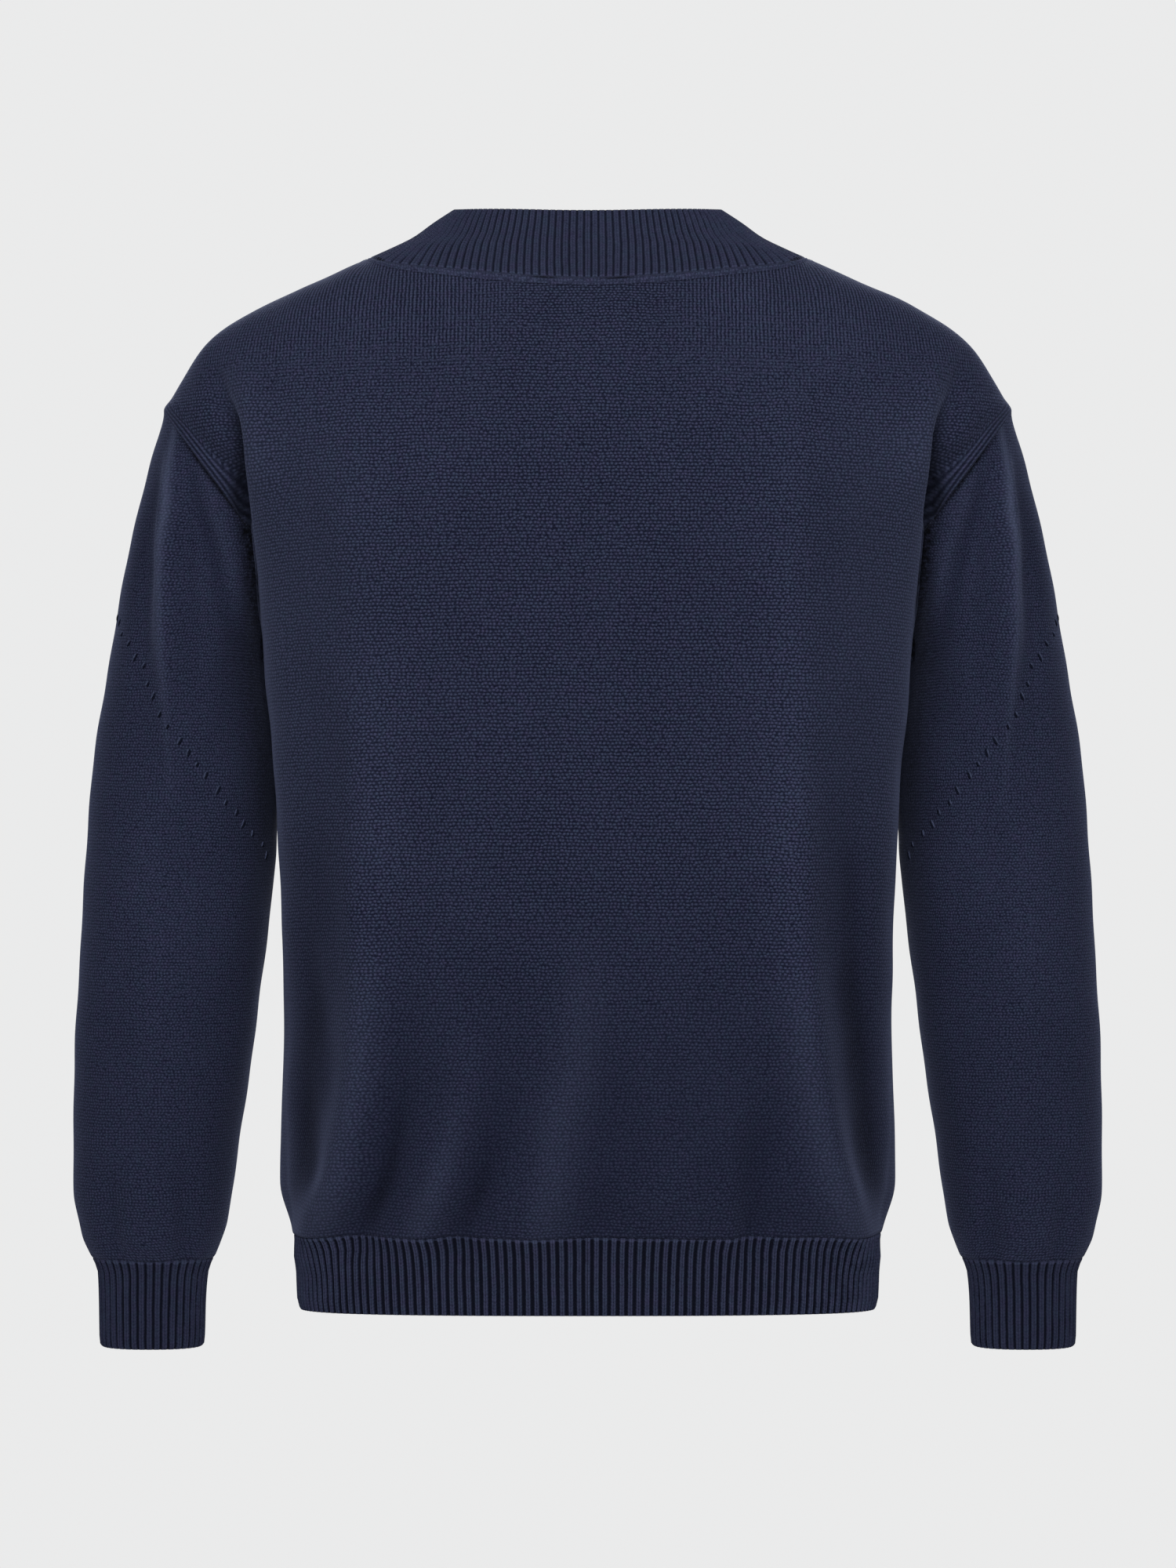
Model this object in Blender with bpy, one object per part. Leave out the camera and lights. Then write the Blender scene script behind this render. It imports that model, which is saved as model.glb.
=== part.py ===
"""A knit cardigan, filled out as if somebody wore it, with nobody in it.

Metres, +Z up. The origin is the middle of the neck, level with the two points where the shoulder
seams meet the neck band. The back faces -Y, the buttoned front faces +Y and the wearer's left is -X.

Every piece lies on one worn form: a torso of level rounded sections, a sleeve of the same on each
side, and a soft join between them over the shoulder. The form is given by the tables below. A piece
is a grid of points on that form, moved in and out by its folds, with a second grid one wall inside it.
"""

import math

import bmesh
import bpy
import numpy as np
from mathutils import Vector

# The cloth.
PANEL_WALL = 0.0025
RIB_WALL = 0.0030
SEAM_TRIM = 0.0002

# Heights of the main seams.
HEM_BOTTOM = -0.671
HEM_SEAM = -0.622
HEM_SIDE_DROP = 0.0055
UNDERARM = -0.262
SHOULDER_TIP = -0.0985
CUFF_SEAM = -0.647
CUFF_BOTTOM = -0.7055
V_POINT = -0.200

# The tip of the shoulder, and the height where the straight armhole seam turns into the groove.
TIP_HALF_WIDTH = 0.2740
ARMHOLE_KNEE = -0.181

# The front bands, which lie one on the other between the two front panels.
BAND_HALF_WIDTH = 0.019
LAYER = RIB_WALL + 0.0005

# The buttons.
BUTTON_HEIGHTS = [-0.212 - 0.109 * step for step in range(5)]
BUTTON_RADIUS = 0.0100
BUTTON_THICKNESS = 0.0034
BUTTON_HOLE_RADIUS = 0.0012
BUTTON_HOLE_SPACING = 0.0044
BUTTON_CLEARANCE = 0.0007
BUTTON_EASE = 0.0006

# Faces along and across each piece. Pieces that meet have the same points along their seam.
NECK_COLUMNS = 6
SHOULDER_COLUMNS = 9
LOWER_ROWS = 11
BELOW_V_ROWS = 2
VEE_ROWS = 8
SLEEVE_ROWS = 14
RIB_ROWS = 2
NECK_SHARE = 0.48
TURN = 0.18
HEM_HEIGHTS = np.linspace(HEM_BOTTOM, HEM_SEAM, RIB_ROWS + 1)
LOWER_HEIGHTS = np.linspace(HEM_SEAM, UNDERARM, LOWER_ROWS + 1)
PANEL_SHARES = np.append(
    np.linspace(0, NECK_SHARE, NECK_COLUMNS + 1)[:-1], np.linspace(NECK_SHARE, 1, SHOULDER_COLUMNS + 1)
)
UPPER_SHARES = np.append(
    np.linspace(0, TURN, BELOW_V_ROWS + 1)[:-1], np.linspace(TURN, 1, VEE_ROWS + 1)
)
CUFF_HEIGHTS = np.linspace(CUFF_SEAM, CUFF_BOTTOM, RIB_ROWS + 1)


def smooth_curve(along, values, wanted):
    """Values read at the wanted places on a smooth curve that never swings past its rows."""
    steps = np.diff(along)
    slopes = np.diff(values) / steps
    inner = np.where(
        slopes[1:] * slopes[:-1] > 0,
        2 * slopes[1:] * slopes[:-1] / np.where(slopes[1:] + slopes[:-1] == 0, 1, slopes[1:] + slopes[:-1]),
        0,
    )
    tangents = np.concatenate([slopes[:1], inner, slopes[-1:]])
    wanted = np.clip(wanted, along[0], along[-1])
    row = np.clip(np.searchsorted(along, wanted) - 1, 0, len(steps) - 1)
    step = steps[row]
    share = (wanted - along[row]) / step
    rest = 1 - share
    return (
        values[row] * (1 + 2 * share) * rest**2
        + values[row + 1] * (3 - 2 * share) * share**2
        + step * tangents[row] * share * rest**2
        - step * tangents[row + 1] * rest * share**2
    )


class Table:
    """Rows of sizes under named columns, read as smooth curves of the first column."""

    def __init__(self, columns, rows):
        rows = np.array(sorted(rows), float)
        self.columns = dict(zip(columns.split(), rows.T))
        self.key = rows[:, 0]

    def at(self, column, wanted):
        return smooth_curve(self.key, self.columns[column], wanted)


# Level sections of the torso, shoulders and neck. back and front are their depths from the shoulder line.
TORSO = Table(
    "height half_width back front squareness",
    [
        (0.0333, 0.0830, 0.0435, 0.030, 2.2),
        (0.0222, 0.1000, 0.0490, 0.033, 2.2),
        (0.0131, 0.1126, 0.0545, 0.037, 2.2),
        (0.0040, 0.1310, 0.0605, 0.041, 2.3),
        (0.0000, 0.1400, 0.0630, 0.043, 2.3),
        (-0.015, 0.1750, 0.0740, 0.054, 2.3),
        (-0.030, 0.2080, 0.0850, 0.066, 2.2),
        (-0.045, 0.2330, 0.0940, 0.074, 2.1),
        (-0.061, 0.2497, 0.1000, 0.082, 2.1),
        (-0.080, 0.2633, 0.1060, 0.090, 2.1),
        (-0.0985, 0.2740, 0.1100, 0.095, 2.15),
        (-0.116, 0.2620, 0.1135, 0.099, 2.4),
        (-0.136, 0.2400, 0.1165, 0.103, 2.8),
        (-0.160, 0.2250, 0.1190, 0.108, 3.1),
        (-0.187, 0.2185, 0.1210, 0.112, 3.1),
        (-0.262, 0.2120, 0.1220, 0.117, 3.1),
        (-0.340, 0.2045, 0.1200, 0.117, 2.9),
        (-0.379, 0.1990, 0.1185, 0.117, 2.9),
        (-0.430, 0.1965, 0.1165, 0.116, 2.8),
        (-0.490, 0.1955, 0.1160, 0.116, 2.8),
        (-0.560, 0.1975, 0.1180, 0.118, 2.8),
        (-0.595, 0.1970, 0.1190, 0.118, 2.8),
        (-0.622, 0.1900, 0.1135, 0.113, 2.8),
        (-0.632, 0.1880, 0.1115, 0.111, 2.8),
        (-0.662, 0.1870, 0.1100, 0.110, 2.8),
        (-0.671, 0.1850, 0.1085, 0.108, 2.8),
    ],
)

# Level sections of a sleeve. outer and inner are where its sides are, depth is half its front-to-back
# size, centre is how far forward its middle is, and blend is how softly it joins the torso.
SLEEVE = Table(
    "height outer inner depth centre blend",
    [
        (-0.080, 0.2540, 0.1900, 0.040, 0.004, 0.018),
        (-0.0985, 0.2700, 0.1740, 0.049, 0.005, 0.013),
        (-0.116, 0.2780, 0.1740, 0.053, 0.006, 0.009),
        (-0.136, 0.2836, 0.1760, 0.056, 0.007, 0.006),
        (-0.187, 0.2953, 0.1880, 0.060, 0.010, 0.002),
        (-0.262, 0.3108, 0.2120, 0.063, 0.020, 0.001),
        (-0.275, 0.3130, 0.2120, 0.063, 0.023, 0.001),
        (-0.300, 0.3169, 0.2092, 0.062, 0.027, 0.001),
        (-0.340, 0.3219, 0.2044, 0.060, 0.032, 0.001),
        (-0.379, 0.3257, 0.2014, 0.058, 0.034, 0.001),
        (-0.440, 0.3299, 0.2089, 0.055, 0.036, 0.001),
        (-0.500, 0.3331, 0.2167, 0.052, 0.038, 0.001),
        (-0.562, 0.3349, 0.2253, 0.049, 0.041, 0.001),
        (-0.604, 0.3345, 0.2317, 0.046, 0.044, 0.001),
        (-0.6246, 0.3312, 0.2356, 0.043, 0.045, 0.001),
        (-0.634, 0.3292, 0.2390, 0.0405, 0.045, 0.001),
        (-0.645, 0.3240, 0.2431, 0.036, 0.045, 0.001),
        (-0.656, 0.3195, 0.2474, 0.032, 0.045, 0.001),
        (-0.674, 0.3188, 0.2490, 0.030, 0.045, 0.001),
        (-0.6985, 0.3185, 0.2498, 0.029, 0.046, 0.001),
        (-0.7055, 0.3175, 0.2508, 0.0280, 0.046, 0.001),
    ],
)
SLEEVE_SQUARENESS = 2.2
SLEEVE_HEAD = -0.080

# The neck band, from the middle of the back (0) round to the foot of the V (1). Angles go round the
# neck from the back. seam is where it joins the panels and edge is its free edge.
NECK = Table(
    "around seam_angle seam_height edge_angle edge_height",
    [
        (0.000, 0.0, -0.0193, 0.0, 0.0270),
        (0.130, 30.0, -0.0165, 30.0, 0.0280),
        (0.260, 60.0, -0.0085, 61.0, 0.0300),
        (0.383, 90.0, 0.0000, 92.0, 0.0318),
        (0.450, 103.9, -0.0120, 105.0, 0.0195),
        (0.523, 112.5, -0.0300, 114.4, 0.0020),
        (0.630, 123.8, -0.0700, 132.7, -0.0340),
        (0.764, 137.8, -0.1200, 151.2, -0.0910),
        (0.906, 156.4, -0.1720, 170.5, -0.1430),
        (1.000, 170.5, -0.2000, 189.7, -0.1780),
    ],
)

# The torso's largest folds: soft ridges, or troughs where rise is negative. x is where each one is at
# its head, middle and foot, and turn is where it starts to lean out towards the hem.
BODY_FOLDS = [
    dict(face=-1, head=-0.270, turn=-0.510, foot=-0.620, x=(-0.136, -0.144, -0.174), width=0.017, rise=0.0060),
    dict(face=-1, head=-0.300, turn=-0.500, foot=-0.600, x=(-0.172, -0.174, -0.190), width=0.016, rise=-0.0055),
    dict(face=-1, head=-0.470, turn=-0.550, foot=-0.615, x=(-0.116, -0.128, -0.142), width=0.015, rise=-0.0045),
    dict(face=-1, head=-0.470, turn=-0.550, foot=-0.615, x=(-0.070, -0.084, -0.106), width=0.016, rise=0.0035),
    dict(face=-1, head=-0.500, turn=-0.570, foot=-0.620, x=(-0.050, -0.062, -0.081), width=0.015, rise=-0.0035),
    dict(face=-1, head=-0.420, turn=-0.540, foot=-0.620, x=(-0.002, -0.013, -0.026), width=0.018, rise=0.0026),
    dict(face=-1, head=-0.260, turn=-0.500, foot=-0.620, x=(0.131, 0.134, 0.176), width=0.017, rise=0.0060),
    dict(face=-1, head=-0.250, turn=-0.500, foot=-0.590, x=(0.160, 0.168, 0.187), width=0.017, rise=-0.0055),
    dict(face=-1, head=-0.520, turn=-0.570, foot=-0.620, x=(0.098, 0.102, 0.108), width=0.016, rise=-0.0032),
    dict(face=1, head=-0.300, turn=-0.500, foot=-0.620, x=(-0.128, -0.134, -0.160), width=0.018, rise=0.0050),
    dict(face=1, head=-0.320, turn=-0.520, foot=-0.610, x=(-0.160, -0.166, -0.184), width=0.016, rise=-0.0050),
    dict(face=1, head=-0.460, turn=-0.550, foot=-0.620, x=(-0.084, -0.092, -0.108), width=0.016, rise=-0.0032),
    dict(face=1, head=-0.280, turn=-0.480, foot=-0.620, x=(0.134, 0.139, 0.168), width=0.017, rise=0.0052),
    dict(face=1, head=-0.340, turn=-0.520, foot=-0.600, x=(0.166, 0.170, 0.186), width=0.016, rise=-0.0052),
    dict(face=1, head=-0.500, turn=-0.560, foot=-0.620, x=(0.072, 0.080, 0.096), width=0.016, rise=0.0030),
]

# A sleeve's largest folds, by the angle round it from its outer side towards the back, in degrees.
SLEEVE_FOLDS = [
    dict(head=-0.100, foot=-0.300, angle=(62.0, 56.0), width=9.0, rise=0.0050),
    dict(head=-0.125, foot=-0.290, angle=(84.0, 108.0), width=10.0, rise=-0.0050),
    dict(head=-0.135, foot=-0.260, angle=(108.0, 132.0), width=10.0, rise=0.0040),
    dict(head=-0.120, foot=-0.320, angle=(-70.0, -60.0), width=10.0, rise=0.0045),
    dict(head=-0.140, foot=-0.290, angle=(-98.0, -116.0), width=10.0, rise=-0.0045),
    dict(head=-0.360, foot=-0.430, angle=(-96.0, -140.0), width=15.0, rise=-0.0040),
    dict(head=-0.410, foot=-0.470, angle=(-80.0, -130.0), width=14.0, rise=-0.0040),
    dict(head=-0.590, foot=-0.641, angle=(50.0, 58.0), width=14.0, rise=-0.0040),
    dict(head=-0.595, foot=-0.641, angle=(118.0, 110.0), width=14.0, rise=-0.0030),
    dict(head=-0.590, foot=-0.641, angle=(-60.0, -66.0), width=15.0, rise=-0.0040),
]


def section_radius(angle, height):
    """How far the torso's section reaches from its middle, at angles from the back (0) to the front."""
    sine, cosine = np.abs(np.sin(angle)), np.cos(angle)
    depth = np.where(cosine > 0, TORSO.at("back", height), TORSO.at("front", height))
    power = TORSO.at("squareness", height)
    reach = (sine / TORSO.at("half_width", height)) ** power + (np.abs(cosine) / depth) ** power
    return reach ** (-1 / power)


def torso_point(angle, height):
    """The point of the torso's form at an angle round it and a height."""
    angle, height = np.broadcast_arrays(angle, height)
    radius = section_radius(angle, height)
    return np.stack([radius * np.sin(angle), -radius * np.cos(angle), height], axis=-1)


def torso_field(points):
    """Below 0 inside the torso, 0 on it and above 0 outside."""
    x, y, z = np.moveaxis(points, -1, 0)
    half_width = TORSO.at("half_width", z)
    depth = np.where(y < 0, TORSO.at("back", z), TORSO.at("front", z))
    power = TORSO.at("squareness", z)
    reach = (np.abs(x) / half_width) ** power + (np.abs(y) / depth) ** power
    return (reach ** (1 / power) - 1) * np.minimum(half_width, depth)


def sleeve_middle(height):
    """(x, y) of the middle of the wearer's right sleeve, and its half width and half depth."""
    outer, inner = SLEEVE.at("outer", height), SLEEVE.at("inner", height)
    return (outer + inner) / 2, SLEEVE.at("centre", height), (outer - inner) / 2, SLEEVE.at("depth", height)


def sleeve_field(points):
    """The same for both sleeves, which end at their heads."""
    x, y, z = np.moveaxis(points, -1, 0)
    middle_x, middle_y, half_width, depth = sleeve_middle(z)
    power = SLEEVE_SQUARENESS
    reach = (np.abs(np.abs(x) - middle_x) / half_width) ** power + (np.abs(y - middle_y) / depth) ** power
    return (reach ** (1 / power) - 1) * np.minimum(half_width, depth) + 2 * np.maximum(z - SLEEVE_HEAD, 0)


def worn_field(points, sleeve_foot=-1.0):
    """Torso and sleeves as one form, with a soft join. The sleeves are left out below sleeve_foot."""
    torso = torso_field(points)
    sleeve = sleeve_field(points) + 1.5 * np.maximum(sleeve_foot - points[..., 2], 0)
    blend = SLEEVE.at("blend", points[..., 2])
    share = np.clip(0.5 + 0.5 * (sleeve - torso) / blend, 0, 1)
    return sleeve + (torso - sleeve) * share - blend * share * (1 - share)


def body_field(points):
    """The form of the body's panels, which run onto the sleeves' side of the join above the knee."""
    return worn_field(points, ARMHOLE_KNEE)


def out_to_form(field, core, through, reach=1.9, looks=40, halvings=24):
    """Where the line from each core point through another first leaves the form."""
    shares = np.linspace(0, reach, looks).reshape((-1,) + (1,) * (core.ndim - 1))
    way = through - core
    outside = field(core + shares[..., None] * way) > 0
    first = np.maximum(np.argmax(outside, axis=0), 1)
    low, high = shares.ravel()[first - 1], shares.ravel()[first]
    for _ in range(halvings):
        middle = (low + high) / 2
        out = field(core + middle[..., None] * way) > 0
        low, high = np.where(out, low, middle), np.where(out, middle, high)
    return core + high[..., None] * way


def onto_form(field, points, way, reach=0.06, looks=121, halvings=20):
    """Points moved along way, in or out, to the nearest place where it leaves the form."""
    way = way / np.linalg.norm(way, axis=-1, keepdims=True)
    steps = np.linspace(-reach, reach, looks)
    values = np.stack([field(points + step * way) for step in steps])
    leaves = (values[:-1] <= 0) & (values[1:] > 0)
    distance = np.where(leaves, np.abs(steps[:-1]).reshape((-1,) + (1,) * (points.ndim - 1)), 9.0)
    nearest = np.argmin(distance, axis=0)
    low, high = steps[nearest], steps[nearest + 1]
    for _ in range(halvings):
        middle = (low + high) / 2
        out = field(points + middle[..., None] * way) > 0
        low, high = np.where(out, low, middle), np.where(out, middle, high)
    return points + high[..., None] * way


def outward(field, points, step=0.0004):
    """Unit vectors out of the form at points on it."""
    slope = [
        field(points + step * axis) - field(points - step * axis) for axis in np.eye(3)
    ]
    slope = np.stack(slope, axis=-1)
    return slope / np.linalg.norm(slope, axis=-1, keepdims=True)


def smooth_step(share):
    share = np.clip(share, 0, 1)
    return share * share * (3 - 2 * share)


# Equal steps round the torso, so that the knitting's columns are evenly spaced.
QUARTER = np.radians(np.linspace(0, 90, 181))
_quarter_points = torso_point(QUARTER, np.full(QUARTER.shape, UNDERARM))
_quarter_arc = np.concatenate([[0], np.cumsum(np.linalg.norm(np.diff(_quarter_points, axis=0), axis=1))])
HALF_PANEL_WIDTH = float(_quarter_arc[-1])


def angle_at_share(share):
    """Angle from the middle of a panel for a share of the way round to its side seam."""
    return np.interp(share, _quarter_arc / HALF_PANEL_WIDTH, QUARTER)


def share_at_angle(angle):
    return np.interp(angle, QUARTER, _quarter_arc / HALF_PANEL_WIDTH)


def groove(height, face):
    """Where torso and sleeve meet at a height, on the back (face -1) or the front (face 1)."""
    half_width, power = TORSO.at("half_width", height), TORSO.at("squareness", height)
    torso_depth = TORSO.at("back" if face < 0 else "front", height)
    middle_x, middle_y, sleeve_half, sleeve_depth = sleeve_middle(height)

    def torso_side(y):
        return half_width * (1 - np.clip(np.abs(y) / torso_depth, 0, 1) ** power) ** (1 / power)

    def sleeve_side(y):
        share = np.clip(np.abs(y - middle_y) / sleeve_depth, 0, 1) ** SLEEVE_SQUARENESS
        return middle_x - sleeve_half * (1 - share) ** (1 / SLEEVE_SQUARENESS)

    near, far = middle_y + 0 * height, middle_y + face * sleeve_depth
    for _ in range(40):
        y = (near + far) / 2
        clear = sleeve_side(y) > torso_side(y)
        near, far = np.where(clear, near, y), np.where(clear, y, far)
    # At the underarm it closes on the side seam.
    y = y - middle_y * (1 - smooth_step((height - UNDERARM) / 0.030))
    return np.stack([torso_side(y), y, height], axis=-1)


def armhole_point(height, face):
    """The wearer's right armhole seam: straight from the shoulder's tip to the knee, then down the groove."""
    height = np.asarray(height, float)
    knee = float(groove(np.array(ARMHOLE_KNEE), face)[0])
    fall = (SHOULDER_TIP - height) / (SHOULDER_TIP - ARMHOLE_KNEE)
    straight = TIP_HALF_WIDTH + (knee - TIP_HALF_WIDTH) * fall
    core = np.stack([straight, 0 * straight, height], axis=-1)
    seam = out_to_form(worn_field, core, core + np.array([0.0, face * 0.07, 0.0]))
    return np.where((height > ARMHOLE_KNEE)[..., None], seam, groove(height, face))


def armhole(share, face):
    """The armhole seam by the share of the way from the underarm to the tip of the shoulder."""
    heights = UNDERARM + (SHOULDER_TIP - UNDERARM) * np.linspace(0, 1, 240) ** 1.5
    points = armhole_point(heights, face)
    points[0] = (TORSO.at("half_width", UNDERARM), 0.0, UNDERARM)
    points[-1] = (TIP_HALF_WIDTH, 0.0, SHOULDER_TIP)
    arc = np.concatenate([[0], np.cumsum(np.linalg.norm(np.diff(points, axis=0), axis=1))])
    return np.stack([np.interp(share, arc / arc[-1], points[:, axis]) for axis in range(3)], axis=-1)


def shoulder_line(share):
    """The shoulder seam by the share of the way from the neck to the tip, along the torso's crest."""
    heights = np.linspace(0.0, SHOULDER_TIP, 120)
    crest = np.stack([TORSO.at("half_width", heights), 0 * heights, heights], axis=-1)
    arc = np.concatenate([[0], np.cumsum(np.linalg.norm(np.diff(crest, axis=0), axis=1))])
    return np.stack([np.interp(share, arc / arc[-1], crest[:, axis]) for axis in range(3)], axis=-1)


def neck_point(around, across):
    """The neck band: around it from the back to the foot of the V, across it from seam to free edge."""
    angle = (1 - across) * NECK.at("seam_angle", around) + across * NECK.at("edge_angle", around)
    height = (1 - across) * NECK.at("seam_height", around) + across * NECK.at("edge_height", around)
    return torso_point(np.radians(angle), height)


def neck_seam(share, face):
    """The neck seam: on the back by the share from the middle to the shoulder, on the front from the V up."""
    side = NECK.key[3]
    around = side * share if face < 0 else 1 - (1 - side) * share
    return neck_point(around, 0.0)


def front_edge_angle(height):
    """Angle, from the middle of the front, at which the torso is half a band's width from the middle."""
    depth = TORSO.at("front", height)
    return np.arctan2(BAND_HALF_WIDTH, depth * (1 - (BAND_HALF_WIDTH / TORSO.at("half_width", height)) ** 2.8))


def lower_panel(face, u, heights):
    """A half panel from the hem to the underarm, on the +X side. It hangs a little lower at the sides."""
    u, heights = np.meshgrid(u, heights)
    heights = heights - HEM_SIDE_DROP * u**3 * smooth_step((HEM_SEAM + 0.1 - heights) / 0.1)
    if face > 0:
        start = share_at_angle(front_edge_angle(heights))
        u = start + (1 - start) * u
    angle = angle_at_share(u)
    return torso_point(angle if face < 0 else math.pi - angle, heights)


def front_edge(t):
    """The front panel's free edge: straight up to the foot of the V, then along the neck."""
    heights = UNDERARM + (V_POINT - UNDERARM) * np.clip(t / TURN, 0, 1)
    straight = torso_point(math.pi - front_edge_angle(heights), heights)
    vee = neck_seam(np.clip((t - TURN) / (1 - TURN), 0, 1), 1)
    return np.where((t < TURN)[:, None], straight, vee)


def between(left, right, bottom, top, u, t):
    """Values spread over a grid from those on its four edges."""
    u, t = u[None, :, None], t[:, None, None]
    span = (1 - u) * left[:, None] + u * right[:, None] + (1 - t) * bottom[None] + t * top[None]
    corners = (1 - u) * ((1 - t) * bottom[0] + t * top[0]) + u * ((1 - t) * bottom[-1] + t * top[-1])
    return span - corners


def upper_panel(face, u, t):
    """A half panel from the underarm to the shoulder, spread between its four edges and onto the form."""
    bottom, right = lower_panel(face, u, np.array([UNDERARM]))[0], armhole(t, face)
    if face < 0:
        left = torso_point(0.0, UNDERARM + (NECK.at("seam_height", 0.0) - UNDERARM) * t)
        neck = neck_seam(np.clip(u / NECK_SHARE, 0, 1), face)
        shoulder = shoulder_line(np.clip((u - NECK_SHARE) / (1 - NECK_SHARE), 0, 1))
        top = np.where((u < NECK_SHARE)[:, None], neck, shoulder)
    else:
        left, top = front_edge(t), shoulder_line(u)
    edges = (left, right, bottom, top)
    way = between(*[outward(body_field, edge) for edge in edges], u, t)
    panel = onto_form(body_field, between(*edges, u, t), way)
    panel[:, 0], panel[:, -1], panel[0], panel[-1] = edges
    return panel


def fold_rise(points, face):
    """How far the body's folds move each point in or out. They fade at the side seams and in the hem."""
    x, y, z = np.moveaxis(points, -1, 0)
    rise = np.zeros_like(x)
    for fold in BODY_FOLDS:
        if fold["face"] != face:
            continue
        path = smooth_curve(np.array([fold["foot"], fold["turn"], fold["head"]]), np.array(fold["x"][::-1]), z)
        head = smooth_step((fold["head"] - z) / (fold["head"] - fold["foot"]) / 0.45)
        foot = smooth_step((z - fold["foot"] + 0.030) / 0.060)
        rise += fold["rise"] * head * foot * np.exp(-(((x - path) / fold["width"]) ** 2))
    return rise * smooth_step(np.abs(y) / 0.035)


def sleeve_fold_rise(angle, height):
    rise = np.zeros_like(height)
    for fold in SLEEVE_FOLDS:
        share = (height - fold["head"]) / (fold["foot"] - fold["head"])
        path = fold["angle"][0] + (fold["angle"][1] - fold["angle"][0]) * share
        fade = smooth_step(share / 0.3) * smooth_step((1 - share) / 0.3)
        away = (np.degrees(angle) - path + 180) % 360 - 180
        rise += fold["rise"] * fade * np.exp(-((away / fold["width"]) ** 2))
    return rise


def shell(name, outer, inner, colour, closed=False):
    """One cloth piece: a grid of faces through its outer points, one through its inner points, and rims."""
    rows, columns = outer.shape[:2]
    mesh = bpy.data.meshes.new(name)
    work = bmesh.new()
    for points, flip in ((outer, False), (inner, True)):
        made = bmesh.ops.create_grid(work, x_segments=columns - 1, y_segments=rows - 1, size=1)["verts"]
        for vertex, place in zip(made, points.reshape(-1, 3)):
            vertex.co = place
        faces = list({face for vertex in made for face in vertex.link_faces})
        if flip:
            bmesh.ops.reverse_faces(work, faces=faces)
    if closed:
        bmesh.ops.remove_doubles(work, verts=work.verts, dist=0.00001)
    rims = [edge for edge in work.edges if edge.is_boundary]
    if closed:
        bridge_ends(work, rims)
    else:
        bmesh.ops.bridge_loops(work, edges=rims)
    bmesh.ops.triangulate(work, faces=work.faces, quad_method="SHORT_EDGE")
    bmesh.ops.recalc_face_normals(work, faces=work.faces)
    work.to_mesh(mesh)
    work.free()
    return place_object(name, mesh, colour)


def bridge_ends(work, rims):
    """Joins the outer and inner loop at each open end of a tube."""
    middle = sum(edge.verts[0].co.z for edge in rims) / len(rims)
    for top in (True, False):
        end = [edge for edge in rims if (edge.verts[0].co.z > middle) == top]
        bmesh.ops.bridge_loops(work, edges=end)


def place_object(name, mesh, colour):
    obj = bpy.data.objects.new(name, mesh)
    obj.data.materials.append(colour)
    obj.data.shade_smooth()
    obj.data.set_sharp_from_angle(angle=math.radians(50))
    CARDIGAN.objects.link(obj)
    return obj


def material(name, colour, roughness):
    made = bpy.data.materials.new(name)
    made.use_nodes = True
    surface = made.node_tree.nodes["Principled BSDF"]
    surface.inputs["Base Color"].default_value = (*colour, 1.0)
    surface.inputs["Roughness"].default_value = roughness
    surface.inputs["Metallic"].default_value = 0.0
    return made


def mirrored(points):
    """The same points on the -X side, with the columns turned round so that the faces still point out."""
    return points[:, ::-1] * np.array([-1.0, 1.0, 1.0])


def trimmed(points, top=True, bottom=True, sides=True, closed=False):
    """Draws the edges of a grid in from the seams, square to each edge."""
    points = points.copy()
    edges = []
    if bottom:
        edges += [(points[0], points[1])]
    if top:
        edges += [(points[-1], points[-2])]
    if sides:
        edges += [(points[:, 0], points[:, 1]), (points[:, -1], points[:, -2])]
    for edge, beside in edges:
        along = np.gradient(edge, axis=0)
        if closed:
            along[0] = along[-1] = edge[1] - edge[-2]
        along /= np.linalg.norm(along, axis=-1, keepdims=True)
        way = beside - edge
        way -= along * np.sum(way * along, axis=-1, keepdims=True)
        edge += way / np.linalg.norm(way, axis=-1, keepdims=True) * SEAM_TRIM
    return points


def eased(normals):
    """Directions evened out with their neighbours' inside each edge, so that a wall's inside is smooth."""
    soft = normals.copy()
    soft[1:-1] += (normals[:-2] + normals[2:]) / 2
    soft[:, 1:-1] += (normals[:, :-2] + normals[:, 2:]) / 2
    return soft / np.linalg.norm(soft, axis=-1, keepdims=True)


def half_body(face):
    """Points of the +X half of the back or the front, and the directions out of it."""
    lower = lower_panel(face, PANEL_SHARES, LOWER_HEIGHTS)
    upper = upper_panel(face, PANEL_SHARES, UPPER_SHARES)[1:]
    normals = [outward(torso_field, lower), outward(body_field, upper)]
    return np.concatenate([lower, upper]), np.concatenate(normals)


def hem_half(face):
    """The same for the ribbed hem."""
    points = lower_panel(face, PANEL_SHARES, HEM_HEIGHTS)
    return points, outward(torso_field, points)


def body_pieces(make_half, names, colour, wall):
    """Makes the back in one piece and the front in two, from their +X halves."""
    for face in (-1, 1):
        points, normals = make_half(face)
        if face < 0:
            whole = [tuple(np.hstack([mirrored(half)[:, :-1], half]) for half in (points, normals))]
        else:
            whole = [(mirrored(points), mirrored(normals)), (points, normals)]
        for name, (place, normal) in zip(names[face], whole):
            outer = trimmed(place + normal * fold_rise(place, face)[..., None])
            shell(name, outer, outer - eased(normal) * wall, colour)


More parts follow.
